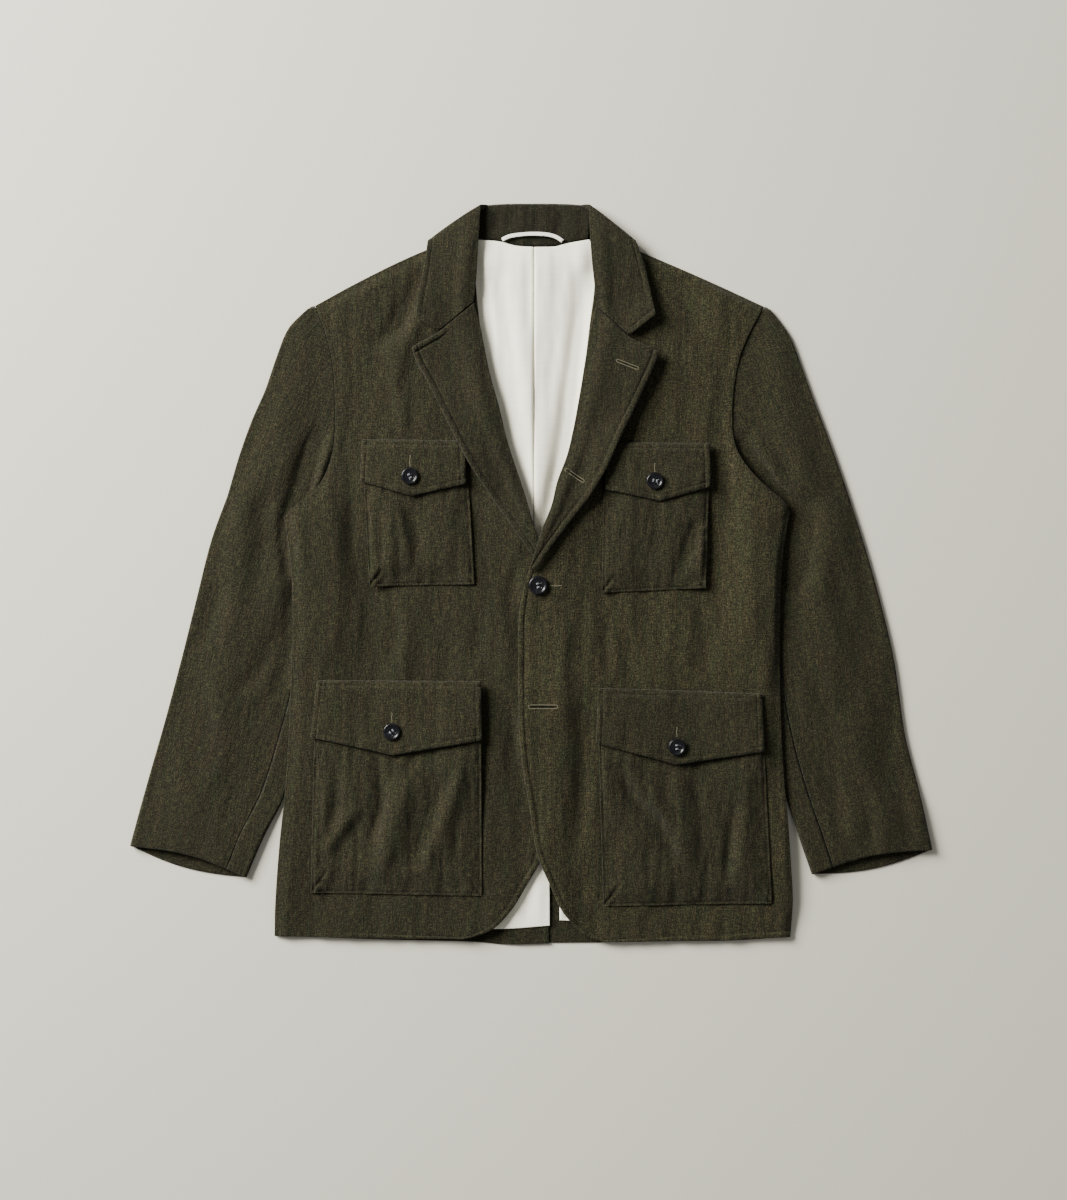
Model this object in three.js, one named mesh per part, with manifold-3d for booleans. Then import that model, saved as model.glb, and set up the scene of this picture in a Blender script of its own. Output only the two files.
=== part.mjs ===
import * as THREE from "three";
import { mergeVertices } from "three/addons/utils/BufferGeometryUtils.js";
import Module from "manifold-3d";

// Field jacket laid flat on its back, front side up, in millimetres.
// x runs to the right in plan, y from the hem up to the collar's roll, z up from the surface it lies on.
// Left and right are those of the plan view: the right front is the one on top, as the wearer's left is.

// Driving sizes
const CLOTH = 1.8; // one layer of the jacket cloth with its turnings
const BACK_CLOTH = 1.6; // the back, one layer pressed on the surface
const LINING = 1.1;
const DOUBLE = 2.2; // lapel and flap, two layers turned and pressed
const BAG_CLOTH = 1.4; // patch pocket
const SEAM = 0.3; // gap left at a seam or between two layers that touch
const ARMHOLE_GAP = 0.6; // seam between sleeve and armhole, where both walls slope
const FRONT_LOFT = 1.3; // how far a front stands clear of the lining
const EDGE_ROLL = 14; // width of the rounding at a side seam or shoulder seam
const ROLL_PUFF = 2.2; // height of the soft roll along a lapel or collar
const LAPEL_LIFT = 4.5; // how far the free edge of a lapel or collar leaf stands off the front
const LIFT_WIDTH = 60; // distance from the roll over which it rises so far
const LIFT_LOST = 0.6; // share of it that a leaf loses on its way to the shoulder
const POCKET_PUFF = 2.4; // how far a pocket stands out in its middle
const FLAP_BUTTON = 18; // diameter
const FRONT_BUTTON = 20; // diameter
const BUTTON_THICK = 3;
const LOWER_BUTTON_THICK = 2.4; // the fastening button hidden between the two fronts
const RIBBON_WIDTH = 4.2;
const RIBBON_THICK = 1;
const CUFF_RISE = 8.6; // height of the open cuff over the surface
const CUFF_BOW = 7.3; // how far the cuff's upper edge bows back, and its lower edge forward, at mid width
const CUFF_START = 0.78; // share of the sleeve below the armpit where it starts to open to the cuff
const CUFF_OPEN = 0.92; // and where it is fully open
const SLEEVE_PRESSED = 4.8; // height of the sleeve where the body lies on it
const CROWN_SHARE = 0.72; // share of a sleeve's width, from its outer edge, that its crown takes
const DRAPE_SLOPE = 0.13; // how steeply cloth comes down beside what it lies on
const EDGE_FOLD_SHARE = 0.4; // most of a sleeve's width that the rounding at one edge may take
const ROLL_SHARE = 0.45; // share of a lapel's or leaf's width that its soft roll takes
const FOLD_OUT = 2.6; // how far the collar bulges out where a leaf folds into the fall
const FOLD_SIDE = 0.28; // share of that bulge on either side of the fold
const FOLD_SIDE_AT = 0.42; // and where along the fold it lies
const NECK_MIDDLE = { x: 0, y: 690 }; // the collar's folds bulge away from it

// Rows of every outline, so that neighbouring pieces share their seam points
const SIDE_ROWS = 13; // hem to armpit
const ARMHOLE_ROWS = 7; // armpit to shoulder
const SLEEVE_ROWS = 10; // armpit to cuff
const VENT_ROWS = 5; // hem to the top of the vent
const LINING_ROWS = 16;
const LAPEL_ROWS = 12;
const LEAF_ROWS = 5;
const BREAK_ROWS = 4; // rows over which the lapel's roll grows from its break
const STAND_ROWS = 4;
const FLAP_ROWS = 5;
const BAG_STEPS = 9;
const NECK_COLUMNS = 4;
const SHOULDER_COLUMNS = 5; // of the back
const FRONT_COLUMNS = 15;
const LINING_COLUMNS = 5;
const STAND_COLUMNS = 12;
const LAPEL_COLUMNS = 6; // half of them along the gorge seam
const ROLL_COLUMNS = 6; // of a collar leaf, along the gorge seam
const NOTCH_COLUMNS = 3; // and along the notch
const FLAP_COLUMNS = 10; // half of them on each side of the point
const LOOP_STEPS = 14;
const SEAM_STEPS = 60; // of a seam line, where distances from it are taken
const RING_STEPS = 24; // of a circle, where a button's seat is found
const SAMPLE_STEPS = 3; // of one cell of a sheet, where its clearance is tested
const CLEARING_ROUNDS = 8;

const COLOURS = { olive: 0x3a3728, olive_sleeve: 0x373425, cream: 0xeae8e2, horn: 0x1d2130 };

// A table is written as its column names and one short row for each section, point or fold.
function table(columns, ...rows) {
  const names = columns.split(" ");
  return rows.map((row) => Object.fromEntries(names.map((name, i) => [name, row[i]])));
}

// Body outlines
const SIDE_LEFT = table("x y", [-272, 9], [-271, 42], [-266, 109], [-261, 156], [-257, 210], [-254, 285],
  [-252, 345], [-254, 405], [-258, 433], [-261, 452]);
const SIDE_RIGHT = table("x y", [274, 8], [276, 47], [274, 85], [270, 142], [266, 191], [263, 262],
  [262, 339], [264, 395], [268, 430], [273, 458]);
const ARMHOLE_LEFT = table("x y", [-261, 452], [-247, 466], [-226, 484], [-215, 505], [-209, 531],
  [-208, 571], [-211, 617], [-219, 650], [-229, 676]);
const ARMHOLE_RIGHT = table("x y", [273, 458], [267, 468], [250, 482], [233, 499], [218, 522], [213, 545],
  [214, 586], [220, 619], [229, 643], [246, 675]);
const SHOULDER_LEFT = table("x y", [-229, 676], [-189, 698], [-139, 723], [-106, 737], [-64, 750]);
const SHOULDER_RIGHT = table("x y", [246, 675], [192, 700], [137, 724], [108, 736], [68, 750]);
const NECK_LEFT = table("x y", [-64, 750], [-57, 746.5], [-33, 744], [-16, 739.5], [2.5, 738]);
const NECK_RIGHT = table("x y", [2.9, 738], [26, 739], [37, 742], [60, 746], [68, 750]);
const HEM_BACK_LEFT = table("x y", [-272, 9], [-160, 5], [-61, 2.5], [-28, 0], [18.6, 1]);
const HEM_BACK_RIGHT = table("x y", [-12, 1.4], [79, 2], [150, 3], [218, 4], [274, 8]);
const HEM_FRONT_LEFT = table("x y", [-272, 9], [-200, 7.5], [-130, 6.5], [-73, 6.5]);
const HEM_FRONT_RIGHT = table("x y", [76, 3], [140, 3.5], [210, 5], [274, 8]);
const EDGE_LEFT = table("x y", [-73, 6.5], [-61, 9], [-41, 17], [-22, 36], [-4, 65], [9, 88], [17, 112],
  [23, 150], [26, 205], [27, 300], [26, 365], [20, 398], [8, 418]);
const ROLL_LEFT = table("x y", [8, 418], [2, 443], [-7, 476], [-25, 531], [-34, 568], [-44, 604],
  [-54, 653], [-58, 690], [-60, 722], [-64, 750]);
const EDGE_RIGHT = table("x y", [76, 3], [61, 8], [41, 25], [30, 40], [19, 65], [9, 88], [4, 105],
  [-2, 145], [-9, 185], [-13, 225], [-14, 300], [-13, 350], [-8, 380]);
const ROLL_RIGHT = table("x y", [-8, 380], [1, 407], [9, 434], [21, 464], [27, 489], [37, 516], [43, 540],
  [50, 577], [57, 620], [62, 660], [66, 690], [67, 722], [68, 750]);

// The vent in the middle of the back: the left panel's underlap lies over the right panel
const VENT_LEFT = table("x y", [18.6, 1], [18.6, 90], [18.2, 190]);
const CENTRE_LEFT = table("x y", [18.2, 190], [8, 225], [2.5, 262], [2.5, 500], [2.5, 738]);
const VENT_RIGHT = table("x y", [-12, 1.4], [-12, 90], [-11.6, 190]);
const CENTRE_RIGHT = table("x y", [-11.6, 190], [-4, 225], [2.9, 262], [2.9, 500], [2.9, 738]);

// Lining: it reaches the neck seam, stops short of the hem, and opens over the vent
const LINING_SIDE = 134; // half width under the fronts
const LINING_LEFT_OUTER = table("x y", [-LINING_SIDE, 18], [-LINING_SIDE, 300], [-LINING_SIDE, 560],
  [-104, 690], [-57, 746]);
const LINING_LEFT_INNER = table("x y", [19.4, 20], [19, 100], [18, 190], [10, 225], [2.5, 262], [2.5, 500],
  [2.5, 737.6]);
const LINING_LEFT_HEM = table("x y", [-LINING_SIDE, 18], [-80, 17], [-30, 16.5], [19.4, 20]);
const LINING_LEFT_NECK = table("x y", [-57, 746], [-33, 743.6], [-16, 739.1], [2.5, 737.6]);
const LINING_RIGHT_OUTER = table("x y", [LINING_SIDE + 4, 24], [LINING_SIDE + 4, 300],
  [LINING_SIDE + 4, 560], [108, 690], [61, 746]);
const LINING_RIGHT_INNER = table("x y", [29.8, 25.5], [29, 100], [26, 190], [12, 232], [2.9, 270], [2.9, 500],
  [2.9, 737.6]);
const LINING_RIGHT_HEM = table("x y", [29.8, 25.5], [60, 24], [100, 24], [LINING_SIDE + 4, 24]);
const LINING_RIGHT_NECK = table("x y", [2.9, 737.6], [26, 738.6], [37, 741.6], [61, 746]);

// Lapels, from the break up to the gorge seam, the notch and the peak
const LAPEL_LEFT_ROLL = table("x y", [1.5, 422], [2, 443], [-7, 476], [-25, 531], [-34, 568], [-44, 604],
  [-54, 653], [-60.5, 678]);
const LAPEL_LEFT_EDGE = table("x y", [-4, 424], [-17, 437], [-42, 473], [-66, 509], [-87, 549], [-108, 592],
  [-123, 620], [-126, 631]);
const LAPEL_LEFT_BREAK = table("x y", [-4, 424], [1.5, 422]);
const LAPEL_LEFT_TOP = table("x y", [-126, 631], [-98, 647]);
const GORGE_LEFT = table("x y", [-98, 647], [-60.5, 678]);
const LAPEL_RIGHT_ROLL = table("x y", [-2.5, 396], [1, 407], [9, 434], [21, 464], [27, 489], [37, 516],
  [43, 540], [50, 577], [57, 620], [62, 650], [68, 674]);
const LAPEL_RIGHT_EDGE = table("x y", [5, 397], [15, 412], [44, 451], [64, 477], [80, 505], [95, 538],
  [110, 569], [123, 597], [131, 615], [134, 625.5]);
const LAPEL_RIGHT_BREAK = table("x y", [-2.5, 396], [5, 397]);
const LAPEL_RIGHT_TOP = table("x y", [104, 641], [134, 625.5]);
const GORGE_RIGHT = table("x y", [68, 674], [104, 641]);

// Collar: two leaves on the fronts, and the fall folded under the back of the neck
const LEAF_LEFT_ROLL = table("x y", [-61, 679], [-58.5, 700], [-57, 723], [-55, 755], [-53.5, 781]);
const LEAF_LEFT_EDGE = table("x y", [-122, 662], [-120, 682], [-114, 714], [-109.5, 743]);
const LEAF_LEFT_END = table("x y", [-61, 679], [-97.4, 648.6]);
const LEAF_LEFT_NOTCH = table("x y", [-97.4, 648.6], [-122, 662]);
const LEAF_LEFT_FOLD = table("x y", [-53.5, 781], [-80, 763.5], [-109.5, 743]);
const LEAF_RIGHT_ROLL = table("x y", [68.4, 675.5], [66, 700], [63.5, 723], [61.5, 755], [61, 781]);
const LEAF_RIGHT_EDGE = table("x y", [131, 665], [126, 688], [119, 718], [110.5, 742]);
const LEAF_RIGHT_END = table("x y", [68.4, 675.5], [103.2, 643.4]);
const LEAF_RIGHT_NOTCH = table("x y", [103.2, 643.4], [131, 665]);
const LEAF_RIGHT_FOLD = table("x y", [61, 781], [80, 766], [110.5, 742]);
// The fall behind the neck, between the two folds
const FALL = table("rollX rollY edgeX edgeY", [-45, 782.5, -84, 733], [-28, 783, -45, 729],
  [-10, 783.3, -14, 728], [4, 783.5, 4, 728], [18, 783.3, 22, 728], [36, 783, 50, 729], [52, 782.5, 86, 733]);

const STAND_TOP = table("x y", [-51, 776], [-30, 779.5], [4, 780.5], [36, 779.5], [58, 776]);
const STAND_FOOT = table("x y", [-56, 747], [-33, 744.4], [-16, 739.9], [2.7, 738.4], [26, 739.4],
  [37, 742.4], [60, 747]);
const RIBBON = table("x y", [-31, 745], [-24, 748.4], [-10, 750.6], [3, 751.2], [17, 750.4],
  [26, 748], [33, 743.6]);

// Sleeves, from the armpit to the cuff: the outer edge shows, the inner edge passes under the body
const SLEEVE_LEFT_HEAD = table("x y", [-233, 675], [-241, 668], [-257, 651], [-270, 619], [-281, 587],
  [-295, 555], [-308, 519], [-321, 475]);
const SLEEVE_LEFT_OUTER = table("x y", [-321, 475], [-338, 428], [-354, 365], [-370, 301], [-387, 237],
  [-405, 174], [-424, 104]);
const SLEEVE_LEFT_INNER = table("x y", [-261, 452], [-243, 425], [-231, 385], [-229, 330], [-234, 270],
  [-246, 215], [-264, 153], [-283, 115], [-302, 71]);
const SLEEVE_RIGHT_HEAD = table("x y", [250, 674], [259, 663], [273, 643], [285, 612], [297, 579],
  [309, 548], [324, 507], [334, 478]);
const SLEEVE_RIGHT_OUTER = table("x y", [334, 478], [350, 428], [368, 365], [383, 301], [395, 220],
  [409, 165], [423.5, 100]);
const SLEEVE_RIGHT_INNER = table("x y", [273, 458], [256, 428], [244, 385], [242, 330], [246, 270],
  [256, 212], [270, 156], [284, 112], [297, 74]);
// Along each sleeve from the armpit (0) to the cuff (1): crown of the top wall, and where the forearm
// seam lies as a share of the width from the outer edge
const SLEEVE_BELOW = table("at crown seam", [0, 5.5, 0.98], [0.2, 5, 0.9], [0.45, 4, 0.86], [0.7, 3.4, 0.84],
  [0.9, 2.4, 0.82], [1, 1.2, 0.82]);

// Patch pockets and their flaps: corners from bottom left round to top left, in x and y
const BAGS = table("name bottomLeft bottomRight topRight topLeft",
  ["chest_left", [-171, 379], [-60, 381], [-68, 521], [-178.5, 522]],
  ["chest_right", [74, 372], [184, 377], [188.5, 518], [77, 518]],
  ["lower_left", [-233, 55], [-52, 52], [-53, 266], [-228, 267]],
  ["lower_right", [76, 41], [254, 44], [243.5, 254], [69.5, 259]]);
const FLAPS = table("name bottomLeft point bottomRight topRight topLeft button",
  ["chest_left", [-181, 490], [-126, 474], [-69, 487], [-70, 533], [-179, 534], [-128, 495]],
  ["chest_right", [78, 481], [136, 469], [189, 484], [188, 530], [76, 531], [130, 490]],
  ["lower_left", [-233, 220], [-146, 201], [-52, 217], [-53, 279], [-226, 280], [-147, 226]],
  ["lower_right", [68, 214], [153, 191], [245, 205], [243, 266], [70, 272], [153, 210]]);
const FRONT_BUTTONS = table("name x y diameter thick", ["button_front", 7, 380, FRONT_BUTTON, BUTTON_THICK],
  ["button_front_lower", 7, 252, FRONT_BUTTON, LOWER_BUTTON_THICK]);

// Soft troughs (-) and ridges (+) of the fronts: from, to, half width and height
const FRONT_FOLDS = table("x1 y1 x2 y2 width height", [-114, 720, -163, 604, 14, -0.9],
  [-74, 182, -137, 85, 13, -1], [60, 363, 62, 150, 16, -0.8], [90, 195, 98, 152, 10, -0.9],
  [-200, 380, -150, 300, 22, 0.9], [168, 460, 141, 391, 12, -0.8], [150, 340, 205, 300, 20, 0.8],
  [-120, 330, -60, 290, 20, 0.7], [244, 455, 236, 340, 30, 4], [-230, 452, -226, 350, 26, 2]);

// Plan outlines
const point = ({ x, y }) => new THREE.Vector3(x, y, 0);
const corner = ([x, y]) => new THREE.Vector3(x, y, 0);

// A smooth line through the rows of an outline, cut into equal steps
function line(outline, steps) {
  const points = outline.map(point);
  if (points.length === 2) return new THREE.LineCurve3(...points).getSpacedPoints(steps);
  return new THREE.CatmullRomCurve3(points, false, "centripetal").getSpacedPoints(steps);
}

const straight = (a, b, steps) => new THREE.LineCurve3(corner(a), corner(b)).getSpacedPoints(steps);
const join = (...lines) => lines.flatMap((points, i) => (i ? points.slice(1) : points));
const smooth = (t) => THREE.MathUtils.smoothstep(t, 0, 1);

// A patch between four lines: bottom and top run left to right, left and right run upwards
function patch(left, right, bottom, top) {
  const rows = left.length - 1;
  const columns = bottom.length - 1;
  return left.map((onLeft, j) =>
    bottom.map((onBottom, i) => {
      const u = i / columns;
      const v = j / rows;
      const across = onLeft.clone().lerp(right[j], u);
      const along = onBottom.clone().lerp(top[i], v);
      const low = left[0].clone().lerp(right[0], u);
      const high = left[rows].clone().lerp(right[rows], u);
      return across.add(along).sub(low.lerp(high, v));
    }));
}

// Closed wall between two sheets of points that face each other
function walled(outer, inner) {
  const rows = outer.length;
  const columns = outer[0].length;
  const points = [...outer.flat(), ...inner.flat()];
  const positions = points.flatMap((p) => [p.x, p.y, p.z]);
  const inside = rows * columns;
  const at = (j, i) => j * columns + i;
  const index = [];
  const quad = (a, b, c, d) => index.push(a, b, c, a, c, d);
  for (let j = 0; j < rows - 1; j++)
    for (let i = 0; i < columns - 1; i++) {
      quad(at(j, i), at(j, i + 1), at(j + 1, i + 1), at(j + 1, i));
      quad(inside + at(j, i), inside + at(j + 1, i), inside + at(j + 1, i + 1), inside + at(j, i + 1));
    }
  const rim = (a, b) => quad(a, inside + a, inside + b, b);
  for (let i = 0; i < columns - 1; i++) {
    rim(at(0, i), at(0, i + 1));
    rim(at(rows - 1, i + 1), at(rows - 1, i));
  }
  for (let j = 0; j < rows - 1; j++) {
    rim(at(j + 1, 0), at(j, 0));
    rim(at(j, columns - 1), at(j + 1, columns - 1));
  }
  const geometry = new THREE.BufferGeometry();
  geometry.setAttribute("position", new THREE.Float32BufferAttribute(positions, 3));
  geometry.setIndex(index);
  return geometry;
}

// The two faces of a wall whose middle surface is given, thickened along its own normals
function thickened(middle, thickness) {
  const rows = middle.length;
  const columns = middle[0].length;
  const faces = [1, -1].map((side) =>
    middle.map((row, j) =>
      row.map((p, i) => {
        const along = row[Math.min(i + 1, columns - 1)].clone().sub(row[Math.max(i - 1, 0)]);
        const up = middle[Math.min(j + 1, rows - 1)][i].clone().sub(middle[Math.max(j - 1, 0)][i]);
        const normal = along.cross(up).normalize();
        return p.clone().addScaledVector(normal, (side * thickness) / 2);
      })));
  return { outer: faces[0], inner: faces[1] };
}

// What lies where: the height reached so far, kept over a plan grid
const CELL = 3;
const PLAN = { x: -450, y: -24, columns: 301, rows: 284 };
const reached = new Float32Array(PLAN.columns * PLAN.rows);

// Raises the reached height to a sheet of points
function stamp(sheet) {
  const triangle = new THREE.Triangle();
  const weights = new THREE.Vector3();
  const spot = new THREE.Vector3();
  for (let j = 0; j < sheet.length - 1; j++)
    for (let i = 0; i < sheet[0].length - 1; i++) {
      const [a, b, c, d] = [sheet[j][i], sheet[j][i + 1], sheet[j + 1][i + 1], sheet[j + 1][i]];
      for (const [p, q, r] of [[a, b, c], [a, c, d]]) {
        triangle.set(...[p, q, r].map(({ x, y }) => new THREE.Vector3(x, y, 0)));
        if (triangle.getArea() < 1e-6) continue;
        const lowX = Math.floor((Math.min(p.x, q.x, r.x) - PLAN.x) / CELL);
        const highX = Math.ceil((Math.max(p.x, q.x, r.x) - PLAN.x) / CELL);
        const lowY = Math.floor((Math.min(p.y, q.y, r.y) - PLAN.y) / CELL);
        const highY = Math.ceil((Math.max(p.y, q.y, r.y) - PLAN.y) / CELL);
        for (let row = lowY; row <= highY; row++)
          for (let column = lowX; column <= highX; column++) {
            spot.set(PLAN.x + column * CELL, PLAN.y + row * CELL, 0);
            if (!triangle.containsPoint(spot)) continue;
            triangle.getBarycoord(spot, weights);
            const height = weights.x * p.z + weights.y * q.z + weights.z * r.z;
            const cell = row * PLAN.columns + column;
            reached[cell] = Math.max(reached[cell], height);
          }
      }
    }
}

// Each cell takes what a measure makes of the cells within a reach of it, along x and then along y
function spread(field, reach, measure) {
  let from = field;
  for (const [stepX, stepY] of [[1, 0], [0, 1]]) {
    const to = new Float32Array(from.length);
    for (let row = 0; row < PLAN.rows; row++)
      for (let column = 0; column < PLAN.columns; column++) {
        const near = [];
        for (let k = -reach; k <= reach; k++) {
          const x = THREE.MathUtils.clamp(column + k * stepX, 0, PLAN.columns - 1);
          const y = THREE.MathUtils.clamp(row + k * stepY, 0, PLAN.rows - 1);
          near.push(from[y * PLAN.columns + x]);
        }
        to[row * PLAN.columns + column] = measure(near);
      }
    from = to;
  }
  return from;
}

const highest = (values) => Math.max(...values);
const mean = (values) => values.reduce((sum, value) => sum + value, 0) / values.length;

// Cloth comes down from what it covers no more steeply than the drape slope
function sloped(field) {
  const heights = field.slice();
  const drop = DRAPE_SLOPE * CELL;
  const pass = (rows, columns, step) => {
    for (const row of rows)
      for (const column of columns) {
        const cell = row * PLAN.columns + column;
        const beside = heights[cell - step] - drop;
        const behind = heights[cell - step * PLAN.columns] - drop;
        const across = heights[cell - step * PLAN.columns - step] - drop * Math.SQRT2;
        const back = heights[cell - step * PLAN.columns + step] - drop * Math.SQRT2;
        heights[cell] = Math.max(heights[cell], beside, behind, across, back);
      }
  };
  const rows = [...Array(PLAN.rows - 2).keys()].map((row) => row + 1);
  const columns = [...Array(PLAN.columns - 2).keys()].map((column) => column + 1);
  pass(rows, columns, 1);
  pass(rows.toReversed(), columns.toReversed(), -1);
  return heights;
}

// Value of a plan field between its cells
function valueAt(field, x, y) {
  const column = THREE.MathUtils.clamp((x - PLAN.x) / CELL, 0, PLAN.columns - 1.001);
  const row = THREE.MathUtils.clamp((y - PLAN.y) / CELL, 0, PLAN.rows - 1.001);
  const [c, r] = [Math.floor(column), Math.floor(row)];
  const cell = r * PLAN.columns + c;
  const low = THREE.MathUtils.lerp(field[cell], field[cell + 1], column - c);
  const above = cell + PLAN.columns;
  const high = THREE.MathUtils.lerp(field[above], field[above + 1], column - c);
  return THREE.MathUtils.lerp(low, high, row - r);
}

// The ground that the next layer lies on: smooth for its shape, close for its clearance
function ground() {
  const bridged = spread(reached, 3, highest);
  return {
    soft: spread(spread(sloped(bridged), 2, mean), 1, mean),
    close: spread(reached, 1, highest),
  };
}

// Bottom heights of a layer over the ground, lifted by its loft, and raised where a face would cut in
function laid(plan, base, loft) {
  const rise = (field, x, y) => {
    const height = valueAt(field, x, y);
    return height + SEAM * Math.min(1, height / SEAM);
  };
  const sheet = plan.map((row, j) =>
    row.map((p, i) => new THREE.Vector3(p.x, p.y, rise(base.soft, p.x, p.y) + loft(p, i, j))));
  const samples = [...Array(SAMPLE_STEPS + 1).keys()].map((step) => step / SAMPLE_STEPS);
  for (let round = 0; round < CLEARING_ROUNDS; round++)
    for (let j = 0; j < sheet.length - 1; j++)
      for (let i = 0; i < sheet[0].length - 1; i++) {
        const corners = [sheet[j][i], sheet[j][i + 1], sheet[j + 1][i + 1], sheet[j + 1][i]];
        for (const u of samples)
          for (const v of samples) {
            // weights of the two triangles that the cell is cut into
            const weights = u > v ? [1 - u, u - v, v, 0] : [1 - v, 0, u, v - u];
            const sum = (key) => weights.reduce((total, w, k) => total + w * corners[k][key], 0);
            const lack = rise(base.close, sum("x"), sum("y")) - sum("z");
            if (lack <= 0) continue;
            const scale = lack / weights.reduce((total, w) => total + w * w, 0);
            corners.forEach((p, k) => (p.z += weights[k] * scale));
          }
      }
  return sheet;
}

const raised = (sheet, height) => sheet.map((row) => row.map((p) => p.clone().setZ(p.z + height)));

// Soft folds of the fronts at a point: each fades across its width and towards its ends
function folds(x, y) {
  let height = 0;
  for (const fold of FRONT_FOLDS) {
    const from = new THREE.Vector3(fold.x1, fold.y1, 0);
    const to = new THREE.Vector3(fold.x2, fold.y2, 0);
    const spot = new THREE.Vector3(x, y, 0);
    const along = to.clone().sub(from);
    const share = spot.clone().sub(from).dot(along) / along.lengthSq();
    const away = spot.distanceTo(from.lerp(to, THREE.MathUtils.clamp(share, 0, 1)));
    height += fold.height * Math.exp(-((away / fold.width) ** 2));
  }
  return height;
}

// The jacket, piece by piece from the surface up
const jacket = new THREE.Group();
const FINISH = {
  olive: { color: COLOURS.olive, roughness: 0.92, metalness: 0 },
  sleeve: { color: COLOURS.olive_sleeve, roughness: 0.92, metalness: 0 },
  cream: { color: COLOURS.cream, roughness: 0.7, metalness: 0 },
  horn: { color: COLOURS.horn, roughness: 0.3, metalness: 0 },
};

function add(name, geometry, finish) {
  geometry.computeVertexNormals();
  const mesh = new THREE.Mesh(geometry, new THREE.MeshStandardMaterial(FINISH[finish]));
  mesh.name = name;
  jacket.add(mesh);
}

// A layer of cloth laid on the ground; what follows lies on it once it is stamped
function layer(name, plan, base, thickness, loft, finish) {
  const inner = laid(plan, base, loft);
  const outer = raised(inner, thickness);
  add(name, walled(outer, inner), finish);
  return outer;
}

const SLEEVE_TOP_COLUMNS = 6;
const SLEEVE_UNDER_COLUMNS = 5;
const SLEEVE_EDGE_COLUMNS = 7; // of the under sleeve beside the armhole
const UNDER_PLAIN = 0.86; // share of its width before them

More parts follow.
